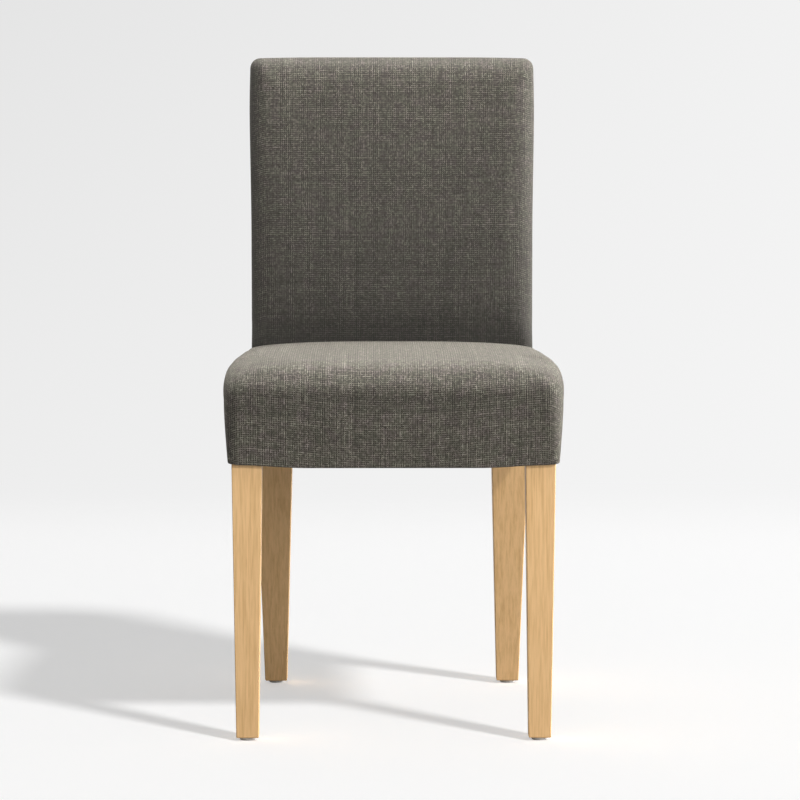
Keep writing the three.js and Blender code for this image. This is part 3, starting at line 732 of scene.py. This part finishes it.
def back_painted_light(piece):
    """Painted light getting lighter up the back, with a painted highlight along its top edge, and painted
    shade in the crease above the seat and along its left side.
    """
    spots = places(piece.data)
    height = spots[:, 2]
    crease = 1 - faded(height, SEAT_TOP + 5 * MM, SEAT_TOP + 5 * MM + CREASE_REACH)
    painted_highlight = share_between(height, BACK_TOP - TOP_HIGHLIGHT_REACH, BACK_TOP - 12 * MM) ** 3
    shade = PAINTED_LEVEL_AT_SEAT + PAINTED_LIGHT_RISE * share_between(height, SEAT_TOP, BACK_TOP)
    # The top edge gets a painted highlight, and the crease above the seat gets painted shade.
    shade += TOP_PAINTED_HIGHLIGHT * painted_highlight - CREASE_PAINTED_SHADE * crease
    front = 1 - faded(spots[:, 1], BACK_FACE - 10 * MM, BACK_FACE + 90 * MM)
    left = 1 - faded(spots[:, 0], -BACK_HALF + 2 * MM, -BACK_HALF + 20 * MM)
    shade = 1 + (shade - 1) * front
    return BACK_PAINTED_LEVEL * shade * (1 - BACK_LEFT_PAINTED_SHADE * left)


# Materials

class Tree:
    """A short way to add and join a material's nodes."""

    def __init__(self, name):
        self.material = bpy.data.materials.new(name)
        self.material.use_nodes = True
        self.nodes = self.material.node_tree.nodes
        self.links = self.material.node_tree.links
        self.shader = self.nodes["Principled BSDF"]

    def add(self, kind, settings=None, **inputs):
        node = self.nodes.new(kind)
        for key, value in (settings or {}).items():
            setattr(node, key, value)
        for key, value in inputs.items():
            self.feed(node.inputs[int(key[1:]) if key[0] == "i" and key[1:].isdigit() else key], value)
        return node

    def feed(self, socket, value):
        if isinstance(value, bpy.types.NodeSocket):
            self.links.new(value, socket)
        elif isinstance(value, bpy.types.Node):
            self.links.new(value.outputs[0], socket)
        else:
            socket.default_value = value

    def math(self, operation, a, b=0.0, clamp=False):
        node = self.add("ShaderNodeMath", {"operation": operation, "use_clamp": clamp}, i0=a, i1=b)
        return node.outputs[0]

    def plus(self, a, b, clamp=False):
        return self.math("ADD", a, b, clamp)

    def minus(self, a, b):
        return self.math("SUBTRACT", a, b)

    def times(self, a, b):
        return self.math("MULTIPLY", a, b)

    def spot(self, x, y, z=0.0):
        return self.add("ShaderNodeCombineXYZ", None, X=x, Y=y, Z=z).outputs[0]

    def scaled(self, place, scale):
        return self.add("ShaderNodeMapping", None, Vector=place, Scale=scale).outputs[0]

    def noise(self, vector, scale, detail=2.0, roughness=0.5):
        given = {"Vector": vector, "Scale": scale, "Detail": detail, "Roughness": roughness}
        return self.add("ShaderNodeTexNoise", None, **given).outputs["Fac"]

    def ramp(self, value, stops):
        node = self.add("ShaderNodeValToRGB", None, Fac=value)
        node.color_ramp.elements.remove(node.color_ramp.elements[1])
        for i, (place, colour) in enumerate(stops):
            element = node.color_ramp.elements[0] if i == 0 else node.color_ramp.elements.new(place)
            element.position = place
            element.color = (*colour, 1)
        return node.outputs["Color"]

    def blend(self, share, a, b, kind="MIX"):
        node = self.add("ShaderNodeMix", {"data_type": "RGBA", "blend_type": kind})
        self.feed(node.inputs["Factor"], share)
        self.feed(node.inputs["A"], a)
        self.feed(node.inputs["B"], b)
        return node.outputs["Result"]

    def bump(self, height, strength, distance):
        node = self.add("ShaderNodeBump", None, Height=height, Strength=strength, Distance=distance)
        self.feed(self.shader.inputs["Normal"], node)

    def set(self, **values):
        for key, value in values.items():
            self.feed(self.shader.inputs[key.replace("_", " ")], value)


WARP_STEP = 1.56 * MM
WEFT_STEP = 1.47 * MM
YARN_WANDER = 0.35
FLOAT_PATCHES = 1.3
THICK_YARN = 0.10
LINE_TONE = 0.15
CHECK_TONE = KNOT_TONE = FIBRE_TONE = 0.12
RELIEF_TONE = 0.10


def weave_material(name):
    """A dark plain weave of slub yarns: each yarn keeps its own tone for a while along its length."""
    tree = Tree(name)
    plus, minus, times, noise, spot = tree.plus, tree.minus, tree.times, tree.noise, tree.spot
    chart = tree.add("ShaderNodeUVMap", {"uv_map": "cloth"}).outputs[0]
    wander = noise(chart, 60.0, 1.0)
    split = tree.add("ShaderNodeSeparateXYZ", None, Vector=chart)
    shift = times(minus(wander, 0.5), YARN_WANDER)
    u = plus(tree.math("DIVIDE", split.outputs[0], WARP_STEP), shift)
    v = plus(tree.math("DIVIDE", split.outputs[1], WEFT_STEP), shift)
    warp_number, weft_number = tree.math("FLOOR", u), tree.math("FLOOR", v)

    def yarn(number, along, seed):
        """The tone of a yarn: its own, and slubs that come and go along it."""
        place = spot(times(number, 5.37), times(along, 0.075), seed)
        middle = noise(place, 1.0, 1.0, 0.5)
        near = spot(times(number, 3.91), times(along, 0.33), seed + 5)
        short = noise(near, 1.0, 1.0, 0.5)
        whole = spot(times(number, 7.13), times(along, 0.006), seed + 9)
        own = noise(whole, 1.0, 0.0, 0.5)
        tone = plus(times(middle, 0.20), times(short, 0.54))
        return plus(tone, times(own, 0.26))

    warp = yarn(warp_number, v, 3.7)
    weft = yarn(weft_number, u, 11.3)
    warp_step = minus(tree.math("PINGPONG", warp_number, 1.0), 0.5)
    weft_step = minus(tree.math("PINGPONG", weft_number, 1.0), 0.5)
    parity = tree.math("PINGPONG", plus(warp_number, weft_number), 1.0)
    patches = noise(chart, 90.0, 2.0, 0.6)
    lead = times(minus(patches, 0.5), FLOAT_PATCHES)
    leaning = plus(lead, 0.5, clamp=True)
    over = plus(times(parity, 0.5), plus(lead, 0.25), clamp=True)
    under = minus(1.0, over)
    tone = plus(times(warp, over), times(weft, under))
    tone = plus(times(tone, 0.95), 0.025)
    thick_place = spot(times(warp_number, 2.71), times(v, 0.11), 21.0)
    thick = minus(noise(thick_place, 1.0, 1.0, 0.5), 0.5)
    tone = plus(tone, times(thick, THICK_YARN))
    warp_lines = times(warp_step, plus(leaning, 0.5))
    weft_lines = times(weft_step, minus(1.5, leaning))
    lines = plus(warp_lines, weft_lines)
    check = times(minus(parity, 0.5), CHECK_TONE)
    tone = plus(tone, plus(check, times(lines, LINE_TONE)))

    def round_yarn(at):
        """1 along the middle of a yarn and 0 in the dip beside it."""
        return tree.math("SINE", times(tree.math("FRACT", at), math.pi))

    relief = plus(times(round_yarn(u), over), times(round_yarn(v), under))
    fibre = noise(chart, 2600.0, 2.0, 0.7)
    mixed = plus(tone, times(minus(relief, 0.6), RELIEF_TONE))
    mixed = plus(mixed, times(minus(fibre, 0.5), FIBRE_TONE))
    crossing = spot(warp_number, weft_number)
    speckle = tree.add("ShaderNodeTexWhiteNoise", {"noise_dimensions": "2D"}, Vector=crossing)
    knot = speckle.outputs["Value"]
    mixed = plus(mixed, times(minus(knot, 0.5), KNOT_TONE))
    colour = tree.ramp(mixed, [
        (0.26, (0.0076, 0.0069, 0.0050)),
        (0.42, (0.0215, 0.0196, 0.0147)),
        (0.53, (0.043, 0.0395, 0.0305)),
        (0.62, (0.077, 0.0708, 0.056)),
        (0.76, (0.168, 0.156, 0.127)),
    ])
    tint = tree.ramp(noise(chart, 55.0, 2.0, 0.5), [
        (0.36, (1.0, 0.925, 1.02)), (0.5, (1.0, 0.985, 1.0)), (0.64, (0.97, 1.0, 0.975)),
    ])
    colour = tree.blend(1.0, colour, tint, "MULTIPLY")
    # The cloth's colour is multiplied by the painted light and shade stored on each point.
    painted_light = tree.add("ShaderNodeAttribute", {"attribute_name": "painted_light"}).outputs["Color"]
    colour = tree.blend(1.0, colour, painted_light, "MULTIPLY")
    height = plus(relief, times(fibre, 0.35))
    tree.bump(height, 0.5, 0.45 * MM)
    tree.set(Base_Color=colour, Roughness=0.85, Sheen_Weight=0.1, Sheen_Roughness=0.7)
    tree.set(Sheen_Tint=(0.95, 0.89, 0.78, 1.0), Specular_IOR_Level=0.2)
    return tree.material


def wood_material(name, light, dark, pore_share=0.5):
    """Fine straight grain along the height of a piece, read from its place on the object."""
    tree = Tree(name)
    place = tree.add("ShaderNodeTexCoord").outputs["Object"]
    stretched = tree.scaled(place, (1.0, 0.35, 0.045))
    drift = tree.noise(tree.scaled(place, (1, 0.35, 0.12)), 26.0, 2.0)
    wander = tree.add("ShaderNodeVectorMath", {"operation": "SCALE"}, i0=(1.0, 0.6, 0.0))
    tree.feed(wander.inputs["Scale"], tree.times(drift, 0.006))
    moved = tree.add("ShaderNodeVectorMath", {"operation": "ADD"}, i0=stretched, i1=wander.outputs[0])
    figure = tree.noise(moved, 330.0, 3.0, 0.65)
    pores = tree.noise(tree.scaled(place, (1, 0.35, 0.02)), 900.0, 2.0, 0.6)
    body = tree.ramp(figure, [(0.32, dark), (0.55, light), (0.75, tuple(min(c * 1.06, 1) for c in light))])
    shade = tree.ramp(pores, [(0.30, (0.80, 0.76, 0.70)), (0.44, (1.0, 1.0, 1.0))])
    colour = tree.blend(pore_share, body, shade, "MULTIPLY")
    tree.bump(tree.plus(tree.times(pores, 0.7), figure), 0.25, 0.25 * MM)
    tree.set(Base_Color=colour, Roughness=tree.plus(tree.times(pores, 0.16), 0.36))
    tree.set(Specular_IOR_Level=0.2)
    return tree.material


def plain_material(name, colour, roughness, metal=0.0, scale=300.0, spread=0.12, bump=0.1):
    """A finish with a fine mottle, for boards, linings, metal and plastic."""
    tree = Tree(name)
    place = tree.add("ShaderNodeTexCoord").outputs["Object"]
    mottle = tree.noise(place, scale, 3.0, 0.6)
    low = tuple(c * (1 - spread) for c in colour)
    high = tuple(min(c * (1 + spread), 1) for c in colour)
    tree.set(Base_Color=tree.ramp(mottle, [(0.35, low), (0.65, high)]), Metallic=metal)
    tree.set(Roughness=tree.plus(tree.times(mottle, 0.2), roughness - 0.1))
    tree.bump(mottle, bump, 0.2 * MM)
    return tree.material


cloth = weave_material("dark_slub_cloth")
finishes = {
    "oak": wood_material("light_oak", (0.68, 0.437, 0.214), (0.565, 0.350, 0.155)),
    "beech": wood_material("frame_beech", (0.62, 0.42, 0.26), (0.52, 0.33, 0.19), 0.3),
    "pine": wood_material("block_pine", (0.72, 0.53, 0.30), (0.60, 0.40, 0.20), 0.2),
    "webbing": plain_material("jute_webbing", (0.18, 0.13, 0.08), 0.85, scale=700.0, spread=0.35, bump=0.5),
    "panel_board": plain_material("pressed_board", (0.36, 0.25, 0.15), 0.7, scale=500.0, spread=0.2),
    "dust_lining": plain_material("black_lining", (0.022, 0.022, 0.024), 0.9, 0.0, 1200.0, 0.5, 0.4),
    "zinc_screw": plain_material("zinc_plate", (0.62, 0.60, 0.55), 0.35, 1.0, 200.0, 0.08),
    "thread": plain_material("dark_thread", (0.035, 0.032, 0.026), 0.6, scale=2500.0, spread=0.3),
    "glide": plain_material("grey_glide", (0.60, 0.59, 0.57), 0.5, scale=400.0),
}


# Stitches and staples, set out along their rows by one node tree

def swept_piece(name, route, half_width, half_thick, material):
    """A short closed bar along a route in its own y and z, with its width along x."""
    route = [Vector((0, y, z)) for y, z in route]
    points, faces = [], []
    for i, spot in enumerate(route):
        ahead = route[min(i + 1, len(route) - 1)] - route[max(i - 1, 0)]
        side = Vector((0, ahead.z, -ahead.y)).normalized() * half_thick
        across = Vector((half_width, 0, 0))
        points += [spot - across - side, spot + across - side, spot + across + side, spot - across + side]
    for i in range(len(route) - 1):
        for k in range(4):
            a, b = 4 * i + k, 4 * i + (k + 1) % 4
            faces.append((a, b, b + 4, a + 4))
    last = len(points)
    faces += [(3, 2, 1, 0), (last - 4, last - 3, last - 2, last - 1)]
    mesh = bpy.data.meshes.new(name)
    mesh.from_pydata(points, [], faces)
    mesh.materials.append(material)
    return bpy.data.objects.new(name, mesh)


def row_tree():
    """Copies of one small piece at even steps along a path, each a little out of line."""
    tree = bpy.data.node_groups.new("sewn_row", "GeometryNodeTree")
    sockets = (
        ("Path", "NodeSocketGeometry"), ("Piece", "NodeSocketObject"), ("Step", "NodeSocketFloat"),
        ("Turn", "NodeSocketFloat"), ("Seed", "NodeSocketInt"), ("Finish", "NodeSocketMaterial"),
    )
    for name, kind in sockets:
        tree.interface.new_socket(name, in_out="INPUT", socket_type=kind)
    tree.interface.new_socket("Row", in_out="OUTPUT", socket_type="NodeSocketGeometry")
    (
        given, path, spots, piece, least, chance, angle,
        heading, turned, copies, plain, finish, result,
    ) = (tree.nodes.new(kind) for kind in (
        "NodeGroupInput", "GeometryNodeMeshToCurve", "GeometryNodeCurveToPoints",
        "GeometryNodeObjectInfo", "ShaderNodeMath", "FunctionNodeRandomValue",
        "FunctionNodeEulerToRotation", "ShaderNodeCombineXYZ", "FunctionNodeRotateRotation",
        "GeometryNodeInstanceOnPoints", "GeometryNodeRealizeInstances", "GeometryNodeSetMaterial",
        "NodeGroupOutput",
    ))
    spots.mode = "LENGTH"
    least.operation = "MULTIPLY"
    least.inputs[1].default_value = -1.0
    turned.rotation_space = "LOCAL"
    chance.data_type = "FLOAT"
    lows = [socket for socket in chance.inputs if socket.name == "Min" and socket.enabled]
    highs = [socket for socket in chance.inputs if socket.name == "Max" and socket.enabled]
    value = next(socket for socket in chance.outputs if socket.enabled)
    for start, end in (
        (given.outputs["Path"], path.inputs["Mesh"]),
        (path.outputs["Curve"], spots.inputs["Curve"]),
        (given.outputs["Step"], spots.inputs["Length"]),
        (given.outputs["Piece"], piece.inputs["Object"]),
        (given.outputs["Turn"], least.inputs[0]),
        (least.outputs[0], lows[0]),
        (given.outputs["Turn"], highs[0]),
        (given.outputs["Seed"], chance.inputs["Seed"]),
        (value, heading.inputs["Y"]),
        (heading.outputs[0], angle.inputs[0]),
        (spots.outputs["Rotation"], turned.inputs[0]),
        (angle.outputs[0], turned.inputs[1]),
        (spots.outputs["Points"], copies.inputs["Points"]),
        (piece.outputs["Geometry"], copies.inputs["Instance"]),
        (turned.outputs[0], copies.inputs["Rotation"]),
        (copies.outputs["Instances"], plain.inputs["Geometry"]),
        (plain.outputs["Geometry"], finish.inputs["Geometry"]),
        (given.outputs["Finish"], finish.inputs["Material"]),
        (finish.outputs["Geometry"], result.inputs[0]),
    ):
        tree.links.new(start, end)
    return tree


def lay_row(name, tree, paths, piece, values, material):
    """A plain mesh of the copies along every path."""
    points, edges = [], []
    for path in paths:
        edges += [(len(points) + i, len(points) + i + 1) for i in range(len(path) - 1)]
        points += path
    mesh = bpy.data.meshes.new(name)
    mesh.from_pydata(points, edges, [])
    row = shown(name, mesh)
    modifier = row.modifiers.new("row", "NODES")
    modifier.node_group = tree
    given = {"Piece": piece, "Finish": material, **values}
    for item in tree.interface.items_tree:
        if item.name in given:
            modifier[item.identifier] = given[item.name]
    graph = bpy.context.evaluated_depsgraph_get()
    made = bpy.data.meshes.new_from_object(row.evaluated_get(graph))
    row.modifiers.remove(modifier)
    row.data = made
    made.name = name
    bpy.data.meshes.remove(mesh)
    bpy.data.objects.remove(piece)
    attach(row, "root")
    return row


STITCH_LIFT = 0.7 * MM
STITCH_OUT = 0.3 * MM
STITCH_MARGIN = 4 * MM


def edge_of_panel(side):
    heights = np.linspace(PANEL_LOW + STITCH_MARGIN, PANEL_HIGH - STITCH_MARGIN, 60)
    return [
        (side * (back_half(z) - PANEL_INSET - STITCH_OUT), rear_face(z) + STITCH_LIFT, z) for z in heights
    ]


def top_of_panel():
    half = back_half(PANEL_HIGH) - PANEL_INSET - STITCH_MARGIN
    y, z = rear_face(PANEL_HIGH) + STITCH_LIFT, PANEL_HIGH + STITCH_OUT
    return [(x, y, z) for x in np.linspace(-half, half, 40)]


STAPLE_DROP = 0.25 * MM
STAPLE_MARGIN = 8 * MM
LEG_CLEAR = 62 * MM


def lining_edges():
    """Where the dust cover is stapled to the four rails, a little in from its edge."""
    level = lining_low.z - STAPLE_DROP
    front, rear = lining_low.y + STAPLE_MARGIN, lining_high.y - STAPLE_MARGIN

    def half(y):
        return lining_high.x - SEAT_TAPER * (y - lining_low.y) - STAPLE_MARGIN

    lengths = np.linspace(front + LEG_CLEAR, rear - LEG_CLEAR, 8)
    paths = [[(side * half(y), y, level) for y in lengths] for side in (-1, 1)]
    for y in (front, rear):
        widths = np.linspace(LEG_CLEAR - half(y), half(y) - LEG_CLEAR, 8)
        paths.append([(x, y, level) for x in widths])
    return paths


rows = row_tree()
stitch = swept_piece("stitch", [
    (-0.9 * MM, -1.7 * MM), (0.05 * MM, -1.35 * MM), (0.35 * MM, -0.5 * MM),
    (0.35 * MM, 0.5 * MM), (0.05 * MM, 1.35 * MM), (-0.9 * MM, 1.7 * MM),
], 0.42 * MM, 0.3 * MM, finishes["thread"])
panel_stitches = lay_row(
    "panel_stitches", rows, [edge_of_panel(-1), top_of_panel(), edge_of_panel(1)], stitch,
    {"Step": 4.6 * MM, "Turn": 0.12, "Seed": 4}, finishes["thread"],
)
staple = swept_piece("staple", [
    (1.0 * MM, -5.0 * MM), (0.1 * MM, -5.0 * MM), (-0.2 * MM, -4.6 * MM), (-0.25 * MM, 0),
    (-0.2 * MM, 4.6 * MM), (0.1 * MM, 5.0 * MM), (1.0 * MM, 5.0 * MM),
], 0.6 * MM, 0.3 * MM, finishes["zinc_screw"])
lining_staples = lay_row(
    "lining_staples", rows, lining_edges(), staple,
    {"Step": 34 * MM, "Turn": 0.07, "Seed": 9}, finishes["zinc_screw"],
)


# Dress the frame

def dress(piece, material):
    piece.data.materials.clear()
    piece.data.materials.append(material)


for node in nodes.values():
    old = node.data.materials[0].name.split(".")[0] if node.data.materials else ""
    if old in finishes:
        node.data.materials[0] = finishes[old]

seat, seat_free = make_seat()
back, back_free = make_back()
settle(seat, seat_hold(seat, seat_free), SEAT_PRESSURE, SEAT_LIMIT)
settle(back, back_hold(back, back_free), BACK_PRESSURE, BACK_LIMIT)
outside_back = make_outside_back()
# Painted light and shade for each cover: lighter fronts and tops, and painted shade at the ends and in the
# crease.
lay_painted_light(seat, seat_painted_light(seat))
lay_painted_light(back, back_painted_light(back))
lay_painted_light(outside_back, back_painted_light(outside_back))
for piece, stands_for in (
    (seat, ("seat_cover", "seat_foam")),
    (back, ("back_cover", "back_foam")),
    (outside_back, ("back_cover",)),
):
    dress(piece, cloth)
    smoother = piece.modifiers.new("smoother", "SUBSURF")
    smoother.levels = smoother.render_levels = 1
    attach(piece, "root")
    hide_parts(*stands_for)


# Floor, backdrop and light

SWEEP_HALF = 30.0
SWEEP_BEND_AT = 8.0
SWEEP_BEND = 3.0
EYE = Vector((-0.0266, -5.285, 0.8015))
FALL_TOP, FALL_FOOT, ASIDE = -0.04, 0.18, 0.11
SHADED_TO, PLAIN_FROM = 2.0, 3.6
SWEEP_TONE = 0.95
SWEEP_SHADOW = 0.435
# Backdrop tones at its left and right ends, from top to floor: painted light, darker to the left and towards
# the top.
SWEEP_LEFT = (0.78, 0.90)
SWEEP_RIGHT = (0.88, 0.93)


def make_sweep():
    """A floor that curves up into a backdrop far behind the chair."""
    profile = [(-SWEEP_HALF, 0.0)] + [(y, 0.0) for y in np.linspace(-3, SWEEP_BEND_AT, 12)]
    for step in range(1, 17):
        angle = step / 16 * math.pi / 2
        profile.append((SWEEP_BEND_AT + SWEEP_BEND * math.sin(angle), SWEEP_BEND * (1 - math.cos(angle))))
    profile += [(SWEEP_BEND_AT + SWEEP_BEND, z) for z in (6.0, 10.0)]
    points, faces = [], []
    for y, z in profile:
        points += [(-SWEEP_HALF, y, z), (SWEEP_HALF, y, z)]
    for i in range(len(profile) - 1):
        faces.append((2 * i, 2 * i + 1, 2 * i + 3, 2 * i + 2))
    mesh = bpy.data.meshes.new("studio_sweep")
    mesh.from_pydata(points, [], faces)
    mesh.shade_smooth()
    return shown("studio_sweep", mesh)


def sweep_material():
    """Near white, with painted light that dims to the left and towards the top, and the shadow that the key
    light throws.
    """
    tree = Tree("pale_sweep")
    place = tree.add("ShaderNodeTexCoord").outputs["Object"]
    split = tree.add("ShaderNodeSeparateXYZ", None, Vector=place)
    tree.set(Base_Color=(*[SWEEP_TONE] * 3, 1.0), Roughness=0.9, Specular_IOR_Level=0.0)
    reach = tree.math("MAXIMUM", tree.plus(split.outputs[1], -EYE.y), 0.5)
    fall = tree.math("DIVIDE", tree.minus(EYE.z, split.outputs[2]), reach)
    along = tree.add("ShaderNodeMapRange", None, i0=fall, i1=FALL_TOP, i2=FALL_FOOT).outputs[0]
    left = tree.ramp(along, list(enumerate((tone,) * 3 for tone in SWEEP_LEFT)))
    right = tree.ramp(along, list(enumerate((tone,) * 3 for tone in SWEEP_RIGHT)))
    aside = tree.math("DIVIDE", split.outputs[0], reach)
    across = tree.add("ShaderNodeMapRange", None, i0=aside, i1=-ASIDE, i2=ASIDE)
    tone = tree.blend(across.outputs[0], left, right)
    glow = tree.add("ShaderNodeEmission", None, Color=tone, Strength=1.0)
    dim = tree.blend(1.0, tone, (*[SWEEP_SHADOW] * 3, 1.0), "SUBTRACT")
    shadow = tree.add("ShaderNodeEmission", None, Color=dim, Strength=1.0)
    near = tree.add("ShaderNodeAddShader", None, i0=tree.shader.outputs[0], i1=shadow.outputs[0])
    smoothed = {"interpolation_type": "SMOOTHSTEP"}
    far = tree.add("ShaderNodeMapRange", smoothed, i0=split.outputs[1], i1=SHADED_TO, i2=PLAIN_FROM)
    plain = tree.add("ShaderNodeBsdfDiffuse", None, Color=(0.8, 0.8, 0.8, 1.0))
    rays = tree.add("ShaderNodeLightPath").outputs
    seen = tree.plus(rays["Is Glossy Ray"], rays["Is Transmission Ray"])
    seen = tree.plus(rays["Is Camera Ray"], seen, clamp=True)
    bright = tree.add("ShaderNodeMixShader", None, i0=far.outputs[0], i1=near.outputs[0], i2=glow.outputs[0])
    mixed = tree.add("ShaderNodeMixShader", None, i0=seen, i1=plain.outputs[0], i2=bright.outputs[0])
    output = next(n for n in tree.nodes if n.type == "OUTPUT_MATERIAL")
    tree.links.new(mixed.outputs[0], output.inputs["Surface"])
    return tree.material


sweep = make_sweep()
dress(sweep, sweep_material())

world = bpy.data.worlds.new("studio")
world.use_nodes = True
world.node_tree.nodes["Background"].inputs["Color"].default_value = (1.0, 1.0, 1.0, 1)
world.node_tree.nodes["Background"].inputs["Strength"].default_value = 0.14
bpy.context.scene.world = world


off_the_sweep = bpy.data.collections.new("off_the_sweep")
off_the_sweep.objects.link(sweep)
off_the_sweep.collection_objects[0].light_linking.link_state = "EXCLUDE"


def soft_light(name, place, target, size, power):
    """A soft lamp on the chair, which leaves the sweep to the key light."""
    data = bpy.data.lights.new(name, "AREA")
    data.shape = "RECTANGLE"
    data.size, data.size_y = size
    data.energy = power
    lamp = shown(name, data)
    lamp.location = place
    lamp.rotation_euler = (Vector(target) - Vector(place)).to_track_quat("-Z", "Y").to_euler()
    lamp.light_linking.receiver_collection = off_the_sweep


LIGHTS = (
    ("above", (0.0, 0.3, 3.2), (0, 0.3, 0.5), (4.0, 3.0), 260),
    ("right_side", (4.2, 0.6, 1.6), (0, 0, 0.5), (2.0, 2.4), 345),
    ("right_front", (2.8, -2.6, 1.4), (0, 0, 0.5), (1.6, 1.8), 85),
    ("floor_glow", (0.0, -2.6, 0.03), (0.0, -2.6, 1.0), (5.0, 3.6), 21),
)
for light in LIGHTS:
    soft_light(*light)

key_data = bpy.data.lights.new("key", "SUN")
key_data.energy = 1.58
key_data.angle = math.radians(7)
key = shown("key", key_data)
key.location = (1.6, -2.0, 2.5)
key.rotation_euler = Vector((-0.475, 0.608, -0.636)).to_track_quat("-Z", "Y").to_euler()


# The camera stands where the photograph was taken from

camera_data = bpy.data.cameras.new("camera")
camera_data.lens = 167.34
camera_data.sensor_width = 36
camera = shown("camera", camera_data)
camera.location = EYE
camera.rotation_euler = (math.pi / 2 - 0.0674, 0, -0.0070)
bpy.context.scene.camera = camera

bpy.context.scene.view_settings.view_transform = "Standard"

bpy.context.view_layer.update()
